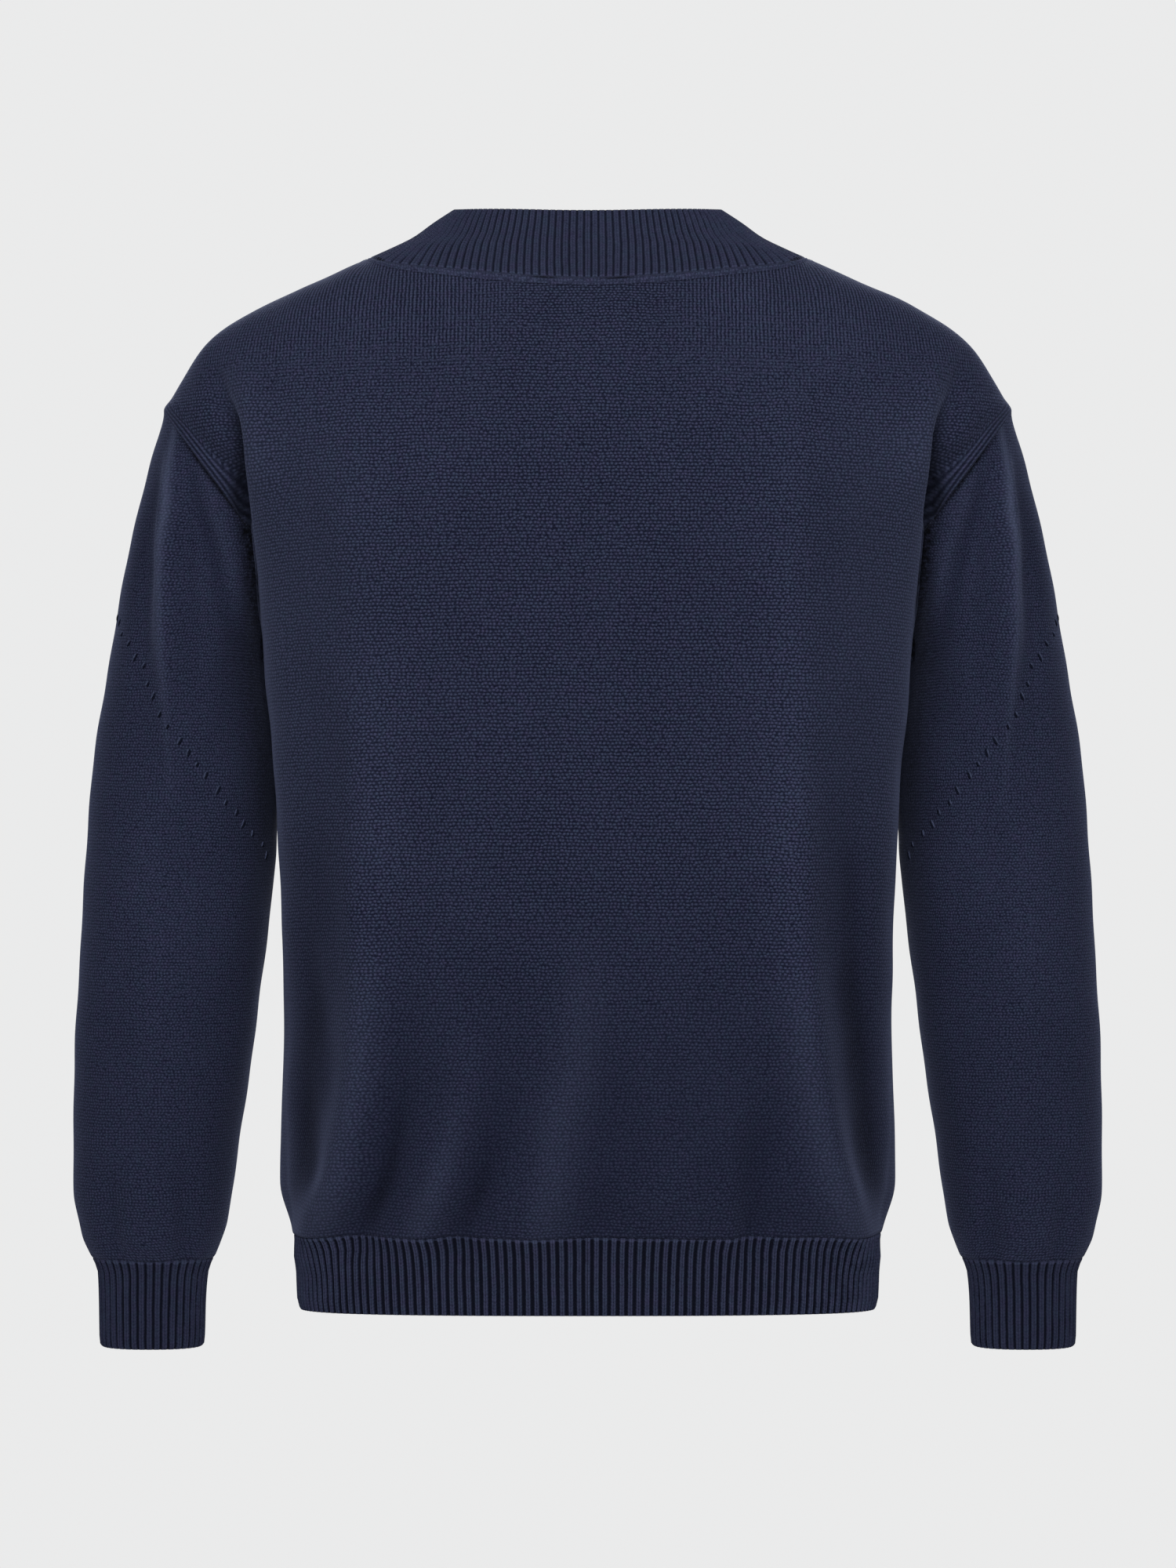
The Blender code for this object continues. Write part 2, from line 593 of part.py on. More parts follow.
def sleeve_ring(angle, height):
    """Points round the +X sleeve's form. Above the armhole's knee it still runs into the shoulder."""
    middle_x, middle_y, half_width, depth = sleeve_middle(height)
    core = np.stack([middle_x, middle_y, height], axis=-1)
    way = np.stack([half_width * np.cos(angle), -depth * np.sin(angle), np.zeros_like(height)], axis=-1)
    alone = out_to_form(sleeve_field, core, core + way)
    joined = out_to_form(worn_field, core, core + way)
    return np.where((height > ARMHOLE_KNEE)[..., None], joined, alone)


def sleeve_grid():
    """Angles and heights of a sleeve's points, from the armhole seam down to the cuff's."""
    down_the_back = armhole(UPPER_SHARES[::-1], -1)
    up_the_front = armhole(UPPER_SHARES[1:], 1)
    seam = np.concatenate([down_the_back, up_the_front])
    middle_x, middle_y, half_width, depth = sleeve_middle(seam[:, 2])
    start = np.unwrap(np.arctan2(-(seam[:, 1] - middle_y) / depth, (seam[:, 0] - middle_x) / half_width))
    end = start[0] + np.linspace(0, 2 * math.pi, len(start))
    share = np.linspace(0, 1, SLEEVE_ROWS + 1)[:, None]
    share = share - 0.05 * np.sin(2 * math.pi * share)
    height = seam[:, 2] + (CUFF_SEAM - seam[:, 2]) * share
    turned = 1 - (1 - np.minimum(share / 0.6, 1)) ** 2
    return start + (end - start) * turned, height, seam


def sleeve_pieces(knit, rib):
    """Each sleeve in one piece, and its ribbed cuff."""
    angle, height, seam = sleeve_grid()
    sleeve = sleeve_ring(angle, height)
    sleeve[0] = seam
    normal = outward(worn_field, sleeve)
    normal[height < ARMHOLE_KNEE] = outward(sleeve_field, sleeve)[height < ARMHOLE_KNEE]
    rise = sleeve_fold_rise(angle, height) * smooth_step((seam[:, 2] - height) / 0.040)
    outer = trimmed(sleeve + normal * rise[..., None], sides=False, closed=True)
    sleeve_walls = (outer, outer - eased(normal) * PANEL_WALL)

    heights = CUFF_HEIGHTS[:, None] + 0 * angle[-1]
    cuff = sleeve_ring(angle[-1] + 0 * heights, heights)
    normal = outward(sleeve_field, cuff)
    outer = trimmed(cuff, sides=False, closed=True)
    cuff_walls = (outer, outer - normal * RIB_WALL)
    for turn, name in ((np.array, "right"), (mirrored, "left")):
        shell(f"sleeve_{name}", *(turn(points) for points in sleeve_walls), knit, closed=True)
        shell(f"cuff_{name}", *(turn(points) for points in cuff_walls), rib, closed=True)


def layer_rise(across, height, upper):
    """The two front bands lie on each other: the upper one rises towards its free edge, the other sinks."""
    lap = smooth_step((-0.060 - height) / 0.070)
    return (1 if upper else -1) * LAYER * across * lap


def neck_band_piece(rib):
    """The ribbed band round the neck, from one foot of the V to the other."""
    side = NECK.key[3]
    around = np.concatenate([np.linspace(0, side, NECK_COLUMNS + 1), np.linspace(side, 1, VEE_ROWS + 1)[1:]])
    around, across = np.meshgrid(around, np.linspace(0, 1, RIB_ROWS + 1))
    half = neck_point(around, across)
    normal = outward(torso_field, half)
    sides = [half + normal * layer_rise(across, half[..., 2], upper)[..., None] for upper in (True, False)]
    outer = trimmed(np.hstack([mirrored(sides[0])[:, :-1], sides[1]]), top=False)
    normal = np.hstack([mirrored(normal)[:, :-1], normal])
    shell("neck_band", outer, outer - normal * RIB_WALL, rib)


def front_band_pieces(rib):
    """The two straight bands from the foot of the V to the hem."""
    rise = (V_POINT - UNDERARM) * UPPER_SHARES[: BELOW_V_ROWS + 1] / TURN
    heights = np.concatenate([HEM_HEIGHTS[:-1], LOWER_HEIGHTS[:-1], UNDERARM + rise])
    across, height = np.meshgrid(np.linspace(0, 1, RIB_ROWS + 1), heights)
    height[-1] += across[-1] * (NECK.at("edge_height", 1.0) - V_POINT)
    for name, side, upper in (("buttonhole_band", -1, True), ("button_band", 1, False)):
        x = BAND_HALF_WIDTH * (1 - 2 * across)
        core = np.stack([x, 0 * x, height], axis=-1)
        points = out_to_form(torso_field, core, core + np.array([0.0, 0.1, 0.0]))
        normal = outward(torso_field, points)
        outer = points + normal * layer_rise(across, height, upper)[..., None]
        outer[:, 0, 0] -= SEAM_TRIM
        outer = trimmed(outer, bottom=False, sides=False)
        inner = outer - normal * RIB_WALL
        if side < 0:
            outer, inner = mirrored(outer), mirrored(inner)
        shell(name, outer, inner, rib)


def button_mesh():
    """A round disc with eased rims and four holes through it, lying in the XY plane."""
    blank = bmesh.new()
    bmesh.ops.create_cone(
        blank, cap_ends=True, segments=20, radius1=BUTTON_RADIUS, radius2=BUTTON_RADIUS, depth=BUTTON_THICKNESS
    )
    rims = [edge for edge in blank.edges if abs(edge.verts[0].co.z - edge.verts[1].co.z) < 0.0001]
    bmesh.ops.bevel(blank, geom=rims, offset=BUTTON_EASE, segments=1, affect="EDGES")
    drills = bmesh.new()
    for place in range(4):
        turn = math.pi / 4 + place * math.pi / 2
        hole = bmesh.ops.create_cone(
            drills, cap_ends=True, segments=8, radius1=BUTTON_HOLE_RADIUS, radius2=BUTTON_HOLE_RADIUS,
            depth=3 * BUTTON_THICKNESS,
        )
        offset = BUTTON_HOLE_SPACING / math.sqrt(2)
        place_of_hole = (offset * math.cos(turn), offset * math.sin(turn), 0)
        bmesh.ops.translate(drills, verts=hole["verts"], vec=place_of_hole)
    made = []
    for name, work in (("button_blank", blank), ("button_drills", drills)):
        mesh = bpy.data.meshes.new(name)
        work.to_mesh(mesh)
        work.free()
        made.append(bpy.data.objects.new(name, mesh))
        CARDIGAN.objects.link(made[-1])
    cut = made[0].modifiers.new("holes", "BOOLEAN")
    cut.operation = "DIFFERENCE"
    cut.object = made[1]
    ready = bpy.data.meshes.new_from_object(made[0].evaluated_get(bpy.context.evaluated_depsgraph_get()))
    ready.name = "button"
    for obj in made:
        bpy.data.objects.remove(obj)
    flat = bmesh.new()
    flat.from_mesh(ready)
    bmesh.ops.triangulate(flat, faces=flat.faces)
    flat.to_mesh(ready)
    flat.free()
    return ready


def button_pieces(horn):
    """Four-holed buttons on the upper band, each square to the cloth under it."""
    mesh = button_mesh()
    mesh.materials.append(horn)
    for number, height in enumerate(BUTTON_HEIGHTS, start=1):
        button = bpy.data.objects.new(f"button_{number}", mesh)
        CARDIGAN.objects.link(button)
        cloth = torso_point(math.pi, height)
        normal = Vector(outward(torso_field, cloth)) + Vector((-LAYER / (2 * BAND_HALF_WIDTH), 0, 0))
        normal.normalize()
        off = LAYER / 2 + BUTTON_CLEARANCE + BUTTON_THICKNESS / 2
        button.location = Vector(cloth) + normal * off
        button.rotation_euler = normal.to_track_quat("Z", "Y").to_euler()


for old in list(bpy.data.objects):
    bpy.data.objects.remove(old)
CARDIGAN = bpy.data.collections.new("knit_cardigan")
bpy.context.scene.collection.children.link(CARDIGAN)

navy_knit = material("navy_knit", (0.020, 0.024, 0.050), 0.95)
navy_rib = material("navy_rib", (0.018, 0.022, 0.046), 0.95)
dark_horn = material("dark_horn", (0.012, 0.012, 0.018), 0.35)

PANELS = {-1: ["back"], 1: ["front_left", "front_right"]}
HEMS = {-1: ["hem_rib_back"], 1: ["hem_rib_front_left", "hem_rib_front_right"]}
body_pieces(half_body, PANELS, navy_knit, PANEL_WALL)
body_pieces(hem_half, HEMS, navy_rib, RIB_WALL)
sleeve_pieces(navy_knit, navy_rib)
neck_band_piece(navy_rib)
front_band_pieces(navy_rib)
button_pieces(dark_horn)
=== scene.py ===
import math

import bpy
import numpy as np
from mathutils import Matrix, Vector


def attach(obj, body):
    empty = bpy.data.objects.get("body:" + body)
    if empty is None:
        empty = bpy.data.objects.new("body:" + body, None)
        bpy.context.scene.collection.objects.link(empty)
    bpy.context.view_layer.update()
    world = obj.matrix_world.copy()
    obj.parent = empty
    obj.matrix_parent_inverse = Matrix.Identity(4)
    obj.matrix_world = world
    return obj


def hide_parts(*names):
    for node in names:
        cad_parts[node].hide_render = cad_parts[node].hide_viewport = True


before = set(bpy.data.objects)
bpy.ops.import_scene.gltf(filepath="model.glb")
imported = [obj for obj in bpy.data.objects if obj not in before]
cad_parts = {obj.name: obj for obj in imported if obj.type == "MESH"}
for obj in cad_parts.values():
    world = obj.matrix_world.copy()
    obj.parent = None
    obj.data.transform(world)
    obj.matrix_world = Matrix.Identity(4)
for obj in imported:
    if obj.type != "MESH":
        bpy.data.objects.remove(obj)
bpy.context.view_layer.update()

# A navy knit cardigan, filled out as worn. Metres, +Z up, the back faces -Y.
# Every piece is a shell on one worn form, with a fine relief of its own on the outside.

print("frame loaded:", len(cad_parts), "nodes")


# curves and tables of sizes
def smoothCurve(along, values, wanted):
    # a smooth curve through the rows, which never swings past them
    gaps = np.diff(along)
    slopes = np.diff(values) / gaps
    both = slopes[1:] + slopes[:-1]
    product = slopes[1:] * slopes[:-1]
    inner = np.where(product > 0, 2 * product / np.where(both == 0, 1, both), 0)
    tangents = np.concatenate([slopes[:1], inner, slopes[-1:]])
    wanted = np.clip(wanted, along[0], along[-1])
    row = np.clip(np.searchsorted(along, wanted) - 1, 0, len(gaps) - 1)
    share = (wanted - along[row]) / gaps[row]
    rest = 1 - share
    return (values[row] * (1 + 2 * share) * rest**2 + values[row + 1] * (3 - 2 * share) * share**2
            + gaps[row] * tangents[row] * share * rest**2 - gaps[row] * tangents[row + 1] * rest * share**2)


class SizeTable:
    def __init__(self, columns, rows):
        rows = np.array(sorted(rows), float)
        self.columns = dict(zip(columns.split(), rows.T))
        self.key = rows[:, 0]

    def at(self, column, wanted):
        return smoothCurve(self.key, self.columns[column], wanted)


def easeStep(share):
    share = np.clip(share, 0, 1)
    return share * share * (3 - 2 * share)


otherSide = np.array([-1.0, 1.0, 1.0])


def unit(vectors):
    return vectors / np.maximum(np.linalg.norm(vectors, axis=-1, keepdims=True), 1e-12)


def bell(distance, reach, power=2):
    # one in the middle, falling to nothing past the reach
    return np.exp(-((distance / reach) ** power))


def arcAlong(points, axis):
    # distance walked along the rows (axis 0) or the columns (axis 1) of a grid
    steps = np.linalg.norm(np.diff(points, axis=axis), axis=-1)
    arc = np.cumsum(steps, axis=axis)
    start = np.zeros_like(arc.take([0], axis=axis))
    return np.concatenate([start, arc], axis=axis)


def fromBothEnds(points, axis=0):
    return arcAlong(points, axis), np.flip(arcAlong(np.flip(points, axis), axis), axis)


def spacedShares(length, spacing, start=(), end=()):
    # shares from 0 to 1 at about the spacing, with finer ones near either end
    first, last = np.array((0.0, *start)), length - np.array((0.0, *end))[::-1]
    count = max(2, round((last[0] - first[-1]) / spacing) + 1)
    middle = np.linspace(first[-1], last[0], count)
    return np.concatenate([first[:-1], middle, last[1:]]) / length


# the worn form
seams = {
    "hemBottom": -0.671, "hem": -0.622, "hemSideDrop": 0.0055, "underarm": -0.262, "tip": -0.0985,
    "tipHalfWidth": 0.2730, "knee": -0.181, "cuff": -0.647, "cuffBottom": -0.7055, "vee": -0.200,
    "bandHalfWidth": 0.019, "layer": 0.0035, "turn": 0.18, "neckShare": 0.48,
}

torso = SizeTable(
    "height halfWidth back front squareness",
    [
        (0.0333, 0.0830, 0.0435, 0.030, 2.2),
        (0.0222, 0.1000, 0.0490, 0.033, 2.2),
        (0.0131, 0.1126, 0.0545, 0.037, 2.2),
        (0.0040, 0.1310, 0.0605, 0.041, 2.3),
        (0.0000, 0.1400, 0.0630, 0.043, 2.3),
        (-0.015, 0.1732, 0.0740, 0.054, 2.3),
        (-0.030, 0.2064, 0.0850, 0.066, 2.2),
        (-0.045, 0.2330, 0.0940, 0.074, 2.1),
        (-0.061, 0.2497, 0.1000, 0.082, 2.1),
        (-0.080, 0.2618, 0.1060, 0.090, 2.1),
        (-0.090, 0.2676, 0.1082, 0.093, 2.1),
        (-0.0985, 0.2730, 0.1100, 0.095, 2.15),
        (-0.116, 0.2620, 0.1135, 0.099, 2.4),
        (-0.136, 0.2400, 0.1165, 0.103, 2.8),
        (-0.160, 0.2205, 0.1190, 0.108, 3.1),
        (-0.187, 0.2130, 0.1210, 0.112, 3.1),
        (-0.262, 0.2064, 0.1220, 0.117, 3.1),
        (-0.340, 0.2006, 0.1200, 0.117, 2.9),
        (-0.379, 0.1986, 0.1185, 0.117, 2.9),
        (-0.430, 0.1965, 0.1165, 0.116, 2.8),
        (-0.490, 0.1955, 0.1160, 0.116, 2.8),
        (-0.560, 0.1975, 0.1180, 0.118, 2.8),
        (-0.595, 0.1982, 0.1190, 0.118, 2.8),
        (-0.622, 0.1906, 0.1135, 0.113, 2.8),
        (-0.632, 0.1880, 0.1115, 0.111, 2.8),
        (-0.660, 0.1870, 0.1100, 0.1100, 2.8),
        (-0.668, 0.1866, 0.1097, 0.1096, 2.8),
        (-0.6725, 0.1854, 0.1088, 0.1086, 2.8),
        (-0.6765, 0.1830, 0.1072, 0.1070, 2.8),
    ],
)

sleeve = SizeTable(
    "height outer inner depth centre blend",
    [
        (-0.080, 0.2540, 0.1900, 0.040, 0.004, 0.005),
        (-0.0985, 0.2706, 0.1740, 0.049, 0.005, 0.002),
        (-0.116, 0.2774, 0.1740, 0.053, 0.006, 0.004),
        (-0.136, 0.2836, 0.1760, 0.056, 0.007, 0.005),
        (-0.187, 0.2953, 0.1850, 0.060, 0.010, 0.002),
        (-0.262, 0.3108, 0.2064, 0.063, 0.020, 0.001),
        (-0.275, 0.3130, 0.2064, 0.063, 0.023, 0.001),
        (-0.300, 0.3169, 0.2042, 0.062, 0.027, 0.001),
        (-0.340, 0.3219, 0.2008, 0.060, 0.032, 0.001),
        (-0.379, 0.3257, 0.2016, 0.058, 0.034, 0.001),
        (-0.400, 0.3273, 0.2044, 0.057, 0.0345, 0.001),
        (-0.440, 0.3299, 0.2089, 0.055, 0.036, 0.001),
        (-0.500, 0.3331, 0.2167, 0.052, 0.038, 0.001),
        (-0.562, 0.3349, 0.2253, 0.049, 0.041, 0.001),
        (-0.604, 0.3345, 0.2317, 0.046, 0.044, 0.001),
        (-0.6246, 0.3312, 0.2356, 0.043, 0.045, 0.001),
        (-0.634, 0.3292, 0.2390, 0.0405, 0.045, 0.001),
        (-0.645, 0.3240, 0.2431, 0.036, 0.045, 0.001),
        (-0.656, 0.3195, 0.2474, 0.032, 0.045, 0.001),
        (-0.674, 0.3188, 0.2490, 0.030, 0.045, 0.001),
        (-0.6985, 0.3185, 0.2498, 0.029, 0.046, 0.001),
        (-0.7030, 0.3180, 0.2503, 0.0286, 0.046, 0.001),
        (-0.7055, 0.3155, 0.2528, 0.0270, 0.046, 0.001),
    ],
)
sleeveSquareness = 2.2
sleeveHead = -0.080

# The neck band, from the middle of the back (0) round to the foot of the V (1).
neck = SizeTable(
    "around seamAngle seamHeight edgeAngle edgeHeight",
    [
        (0.000, 0.0, -0.0193, 0.0, 0.0270),
        (0.030, 6.9, -0.01915, 11.3, 0.02705),
        (0.070, 16.2, -0.0185, 25.1, 0.0273),
        (0.130, 30.0, -0.0172, 42.6, 0.0280),
        (0.260, 60.0, -0.0107, 73.1, 0.0300),
        (0.383, 90.0, 0.0000, 92.0, 0.0318),
        (0.450, 103.9, -0.0120, 105.0, 0.0195),
        (0.523, 112.5, -0.0300, 114.4, 0.0020),
        (0.630, 123.8, -0.0700, 132.7, -0.0340),
        (0.764, 137.8, -0.1200, 151.2, -0.0910),
        (0.906, 156.4, -0.1720, 170.5, -0.1430),
        (1.000, 170.5, -0.2000, 189.7, -0.1780),
    ],
)
neckSide = neck.key[5]


def torsoDepth(y, z):
    return np.where(y < 0, torso.at("back", z), torso.at("front", z))


def torsoPoint(angle, height):
    # angle goes round from the back (0) to the front
    angle, height = np.broadcast_arrays(angle, height)
    sine, cosine = np.sin(angle), np.cos(angle)
    power = torso.at("squareness", height)
    depth = torsoDepth(-cosine, height)
    reach = (np.abs(sine) / torso.at("halfWidth", height)) ** power + (np.abs(cosine) / depth) ** power
    radius = reach ** (-1 / power)
    return np.stack([radius * sine, -radius * cosine, height], axis=-1)


def torsoField(points):
    x, y, z = np.moveaxis(points, -1, 0)
    halfWidth, depth, power = torso.at("halfWidth", z), torsoDepth(y, z), torso.at("squareness", z)
    reach = (np.abs(x) / halfWidth) ** power + (np.abs(y) / depth) ** power
    return (reach ** (1 / power) - 1) * np.minimum(halfWidth, depth)


def sleeveMiddle(height):
    outer, inner = sleeve.at("outer", height), sleeve.at("inner", height)
    return (outer + inner) / 2, sleeve.at("centre", height), (outer - inner) / 2, sleeve.at("depth", height)


def sleeveField(points):
    x, y, z = np.moveaxis(points, -1, 0)
    middleX, middleY, halfWidth, depth = sleeveMiddle(z)
    power = sleeveSquareness
    reach = (np.abs(np.abs(x) - middleX) / halfWidth) ** power + (np.abs(y - middleY) / depth) ** power
    return (reach ** (1 / power) - 1) * np.minimum(halfWidth, depth) + 2 * np.maximum(z - sleeveHead, 0)


def wornField(points, sleeveFoot=-1.0):
    # torso and sleeves as one form with a soft join, without the sleeves below sleeveFoot
    body = torsoField(points)
    arm = sleeveField(points) + 1.5 * np.maximum(sleeveFoot - points[..., 2], 0)
    blend = sleeve.at("blend", points[..., 2])
    share = np.clip(0.5 + 0.5 * (arm - body) / blend, 0, 1)
    return arm + (body - arm) * share - blend * share * (1 - share)


def bodyField(points):
    return wornField(points, seams["knee"])


def halve(field, start, way, low, high, halvings):
    for _ in range(halvings):
        middle = (low + high) / 2
        out = field(start + middle[..., None] * way) > 0
        low, high = np.where(out, low, middle), np.where(out, middle, high)
    return start + high[..., None] * way


def outToForm(field, core, through, reach=1.9, looks=40):
    # where the line from each core point through another first leaves the form
    shares = np.linspace(0, reach, looks).reshape((-1,) + (1,) * (core.ndim - 1))
    way = through - core
    outside = field(core + shares[..., None] * way) > 0
    first = np.maximum(np.argmax(outside, axis=0), 1)
    return halve(field, core, way, shares.ravel()[first - 1], shares.ravel()[first], 24)


def ontoForm(field, points, way, reach=0.06, looks=81):
    # points moved along way to the nearest place where it leaves the form
    way = unit(way)
    steps = np.linspace(-reach, reach, looks)
    values = np.stack([field(points + step * way) for step in steps])
    leaves = (values[:-1] <= 0) & (values[1:] > 0)
    distance = np.where(leaves, np.abs(steps[:-1]).reshape((-1,) + (1,) * (points.ndim - 1)), 9.0)
    nearest = np.argmin(distance, axis=0)
    return halve(field, points, way, steps[nearest], steps[nearest + 1], 18)


def outwardOf(field, points, step=0.0004):
    slope = [field(points + step * axis) - field(points - step * axis) for axis in np.eye(3)]
    return unit(np.stack(slope, axis=-1))


quarterAngles = np.radians(np.linspace(0, 90, 361))
quarterArc = arcAlong(torsoPoint(quarterAngles, np.full(quarterAngles.shape, seams["underarm"])), 0)
halfPanelWidth = float(quarterArc[-1])


def angleAtShare(share):
    return np.interp(share, quarterArc / halfPanelWidth, quarterAngles)


def shareAtAngle(angle):
    return np.interp(angle, quarterAngles, quarterArc / halfPanelWidth)


def groove(height, face):
    # where torso and sleeve meet at a height, on the back (face -1) or the front (face 1)
    halfWidth, power = torso.at("halfWidth", height), torso.at("squareness", height)
    depth = torso.at("back" if face < 0 else "front", height)
    middleX, middleY, armHalf, armDepth = sleeveMiddle(height)

    def bodyReach(y):
        return halfWidth * (1 - np.clip(np.abs(y) / depth, 0, 1) ** power) ** (1 / power)

    def sleeveReach(y):
        share = np.clip(np.abs(y - middleY) / armDepth, 0, 1) ** sleeveSquareness
        return middleX - armHalf * (1 - share) ** (1 / sleeveSquareness)

    near, far = middleY + 0 * height, middleY + face * armDepth
    for _ in range(40):
        y = (near + far) / 2
        clear = sleeveReach(y) > bodyReach(y)
        near, far = np.where(clear, near, y), np.where(clear, y, far)
    y = y - middleY * (1 - easeStep((height - seams["underarm"]) / 0.030))
    return np.stack([bodyReach(y), y, height], axis=-1)


def armholePoint(height, face):
    # straight from the shoulder's tip to the knee, then down the groove under the arm
    tip, knee, half = seams["tip"], seams["knee"], seams["tipHalfWidth"]
    straight = half + (groove(np.array(knee), face)[0] - half) * (tip - height) / (tip - knee)
    core = np.stack([straight, 0 * straight, height], axis=-1)
    seam = outToForm(wornField, core, core + np.array([0.0, face * 0.07, 0.0]))
    return np.where((height > knee)[..., None], seam, groove(height, face))


def alongLine(points, share):
    arc = arcAlong(points, 0)
    return np.stack([np.interp(share, arc / arc[-1], points[:, axis]) for axis in range(3)], axis=-1)


def armhole(share, face):
    low, tip = seams["underarm"], seams["tip"]
    points = armholePoint(low + (tip - low) * np.linspace(0, 1, 240) ** 1.5, face)
    points[0], points[-1] = (torso.at("halfWidth", low), 0.0, low), (seams["tipHalfWidth"], 0.0, tip)
    return alongLine(points, share)


def shoulderLine(share):
    heights = np.linspace(0.0, seams["tip"], 120)
    return alongLine(np.stack([torso.at("halfWidth", heights), 0 * heights, heights], axis=-1), share)


def neckPoint(around, across):
    angle = (1 - across) * neck.at("seamAngle", around) + across * neck.at("edgeAngle", around)
    height = (1 - across) * neck.at("seamHeight", around) + across * neck.at("edgeHeight", around)
    return torsoPoint(np.radians(angle), height)


def neckSeam(share, face):
    if face > 0:
        return neckPoint(1 - (1 - neckSide) * share, 0.0)
    # on the back the columns of stitches are nearly even across
    fine = np.linspace(0, neckSide, 400)
    line = neckPoint(fine, 0.0)
    arc = arcAlong(line, 0)
    even = 0.6 * line[:, 0] / line[-1, 0] + 0.4 * arc / arc[-1]
    return neckPoint(np.interp(share, even, fine), 0.0)


def frontEdgeAngle(height):
    depth, half = torso.at("front", height), seams["bandHalfWidth"]
    return np.arctan2(half, depth * (1 - (half / torso.at("halfWidth", height)) ** 2.8))


def lowerPanel(face, u, heights):
    u, heights = np.meshgrid(u, heights)
    heights = heights - seams["hemSideDrop"] * u**3 * easeStep((seams["hem"] + 0.1 - heights) / 0.1)
    if face > 0:
        start = shareAtAngle(frontEdgeAngle(heights))
        u = start + (1 - start) * u
    angle = angleAtShare(u)
    return torsoPoint(angle if face < 0 else math.pi - angle, heights)


def frontEdge(t):
    turn = seams["turn"]
    heights = seams["underarm"] + (seams["vee"] - seams["underarm"]) * np.clip(t / turn, 0, 1)
    straight = torsoPoint(math.pi - frontEdgeAngle(heights), heights)
    vee = neckSeam(np.clip((t - turn) / (1 - turn), 0, 1), 1)
    return np.where((t < turn)[:, None], straight, vee)


def between(left, right, bottom, top, u, t):
    # values spread over a grid from those on its four edges
    u, t = u[None, :, None], t[:, None, None]
    span = (1 - u) * left[:, None] + u * right[:, None] + (1 - t) * bottom[None] + t * top[None]
    corners = (1 - u) * ((1 - t) * bottom[0] + t * top[0]) + u * ((1 - t) * bottom[-1] + t * top[-1])
    return span - corners


def upperPanel(face, u, t):
    low, neckShare = seams["underarm"], seams["neckShare"]
    bottom, right = lowerPanel(face, u, np.array([low]))[0], armhole(t, face)
    if face < 0:
        left = torsoPoint(0.0, low + (neck.at("seamHeight", 0.0) - low) * t)
        line = neckSeam(np.clip(u / neckShare, 0, 1), face)
        shoulder = shoulderLine(np.clip((u - neckShare) / (1 - neckShare), 0, 1))
        top = np.where((u < neckShare)[:, None], line, shoulder)
    else:
        left, top = frontEdge(t), shoulderLine(u)
    edges = (left, right, bottom, top)
    way = between(*[outwardOf(bodyField, edge) for edge in edges], u, t)
    panel = ontoForm(bodyField, between(*edges, u, t), way)
    panel[:, 0], panel[:, -1], panel[0], panel[-1] = edges
    return panel


# folds
# A fold's rows, in millimetres: heights z from low to high, its path x there, its rise there,
# and its widths to the left and right. A tint is the same with a strength in place of the rise.
# On a sleeve x counts outward from the middle of the garment.
def fold(face, z, x, rise, width, scale=0.001):
    z, x, width = (np.array(values) * 0.001 for values in (z, x, width))
    return {"face": face, "z": z, "x": x, "rise": np.array(rise) * scale, "width": width}


def backFold(*rows):
    return fold(-1, *rows)


def frontFold(*rows):
    return fold(1, *rows)


def backTint(*rows):
    return fold(-1, *rows, scale=1.0)


def onBothSides(made):
    return made, {**made, "x": -made["x"], "width": made["width"][::-1]}


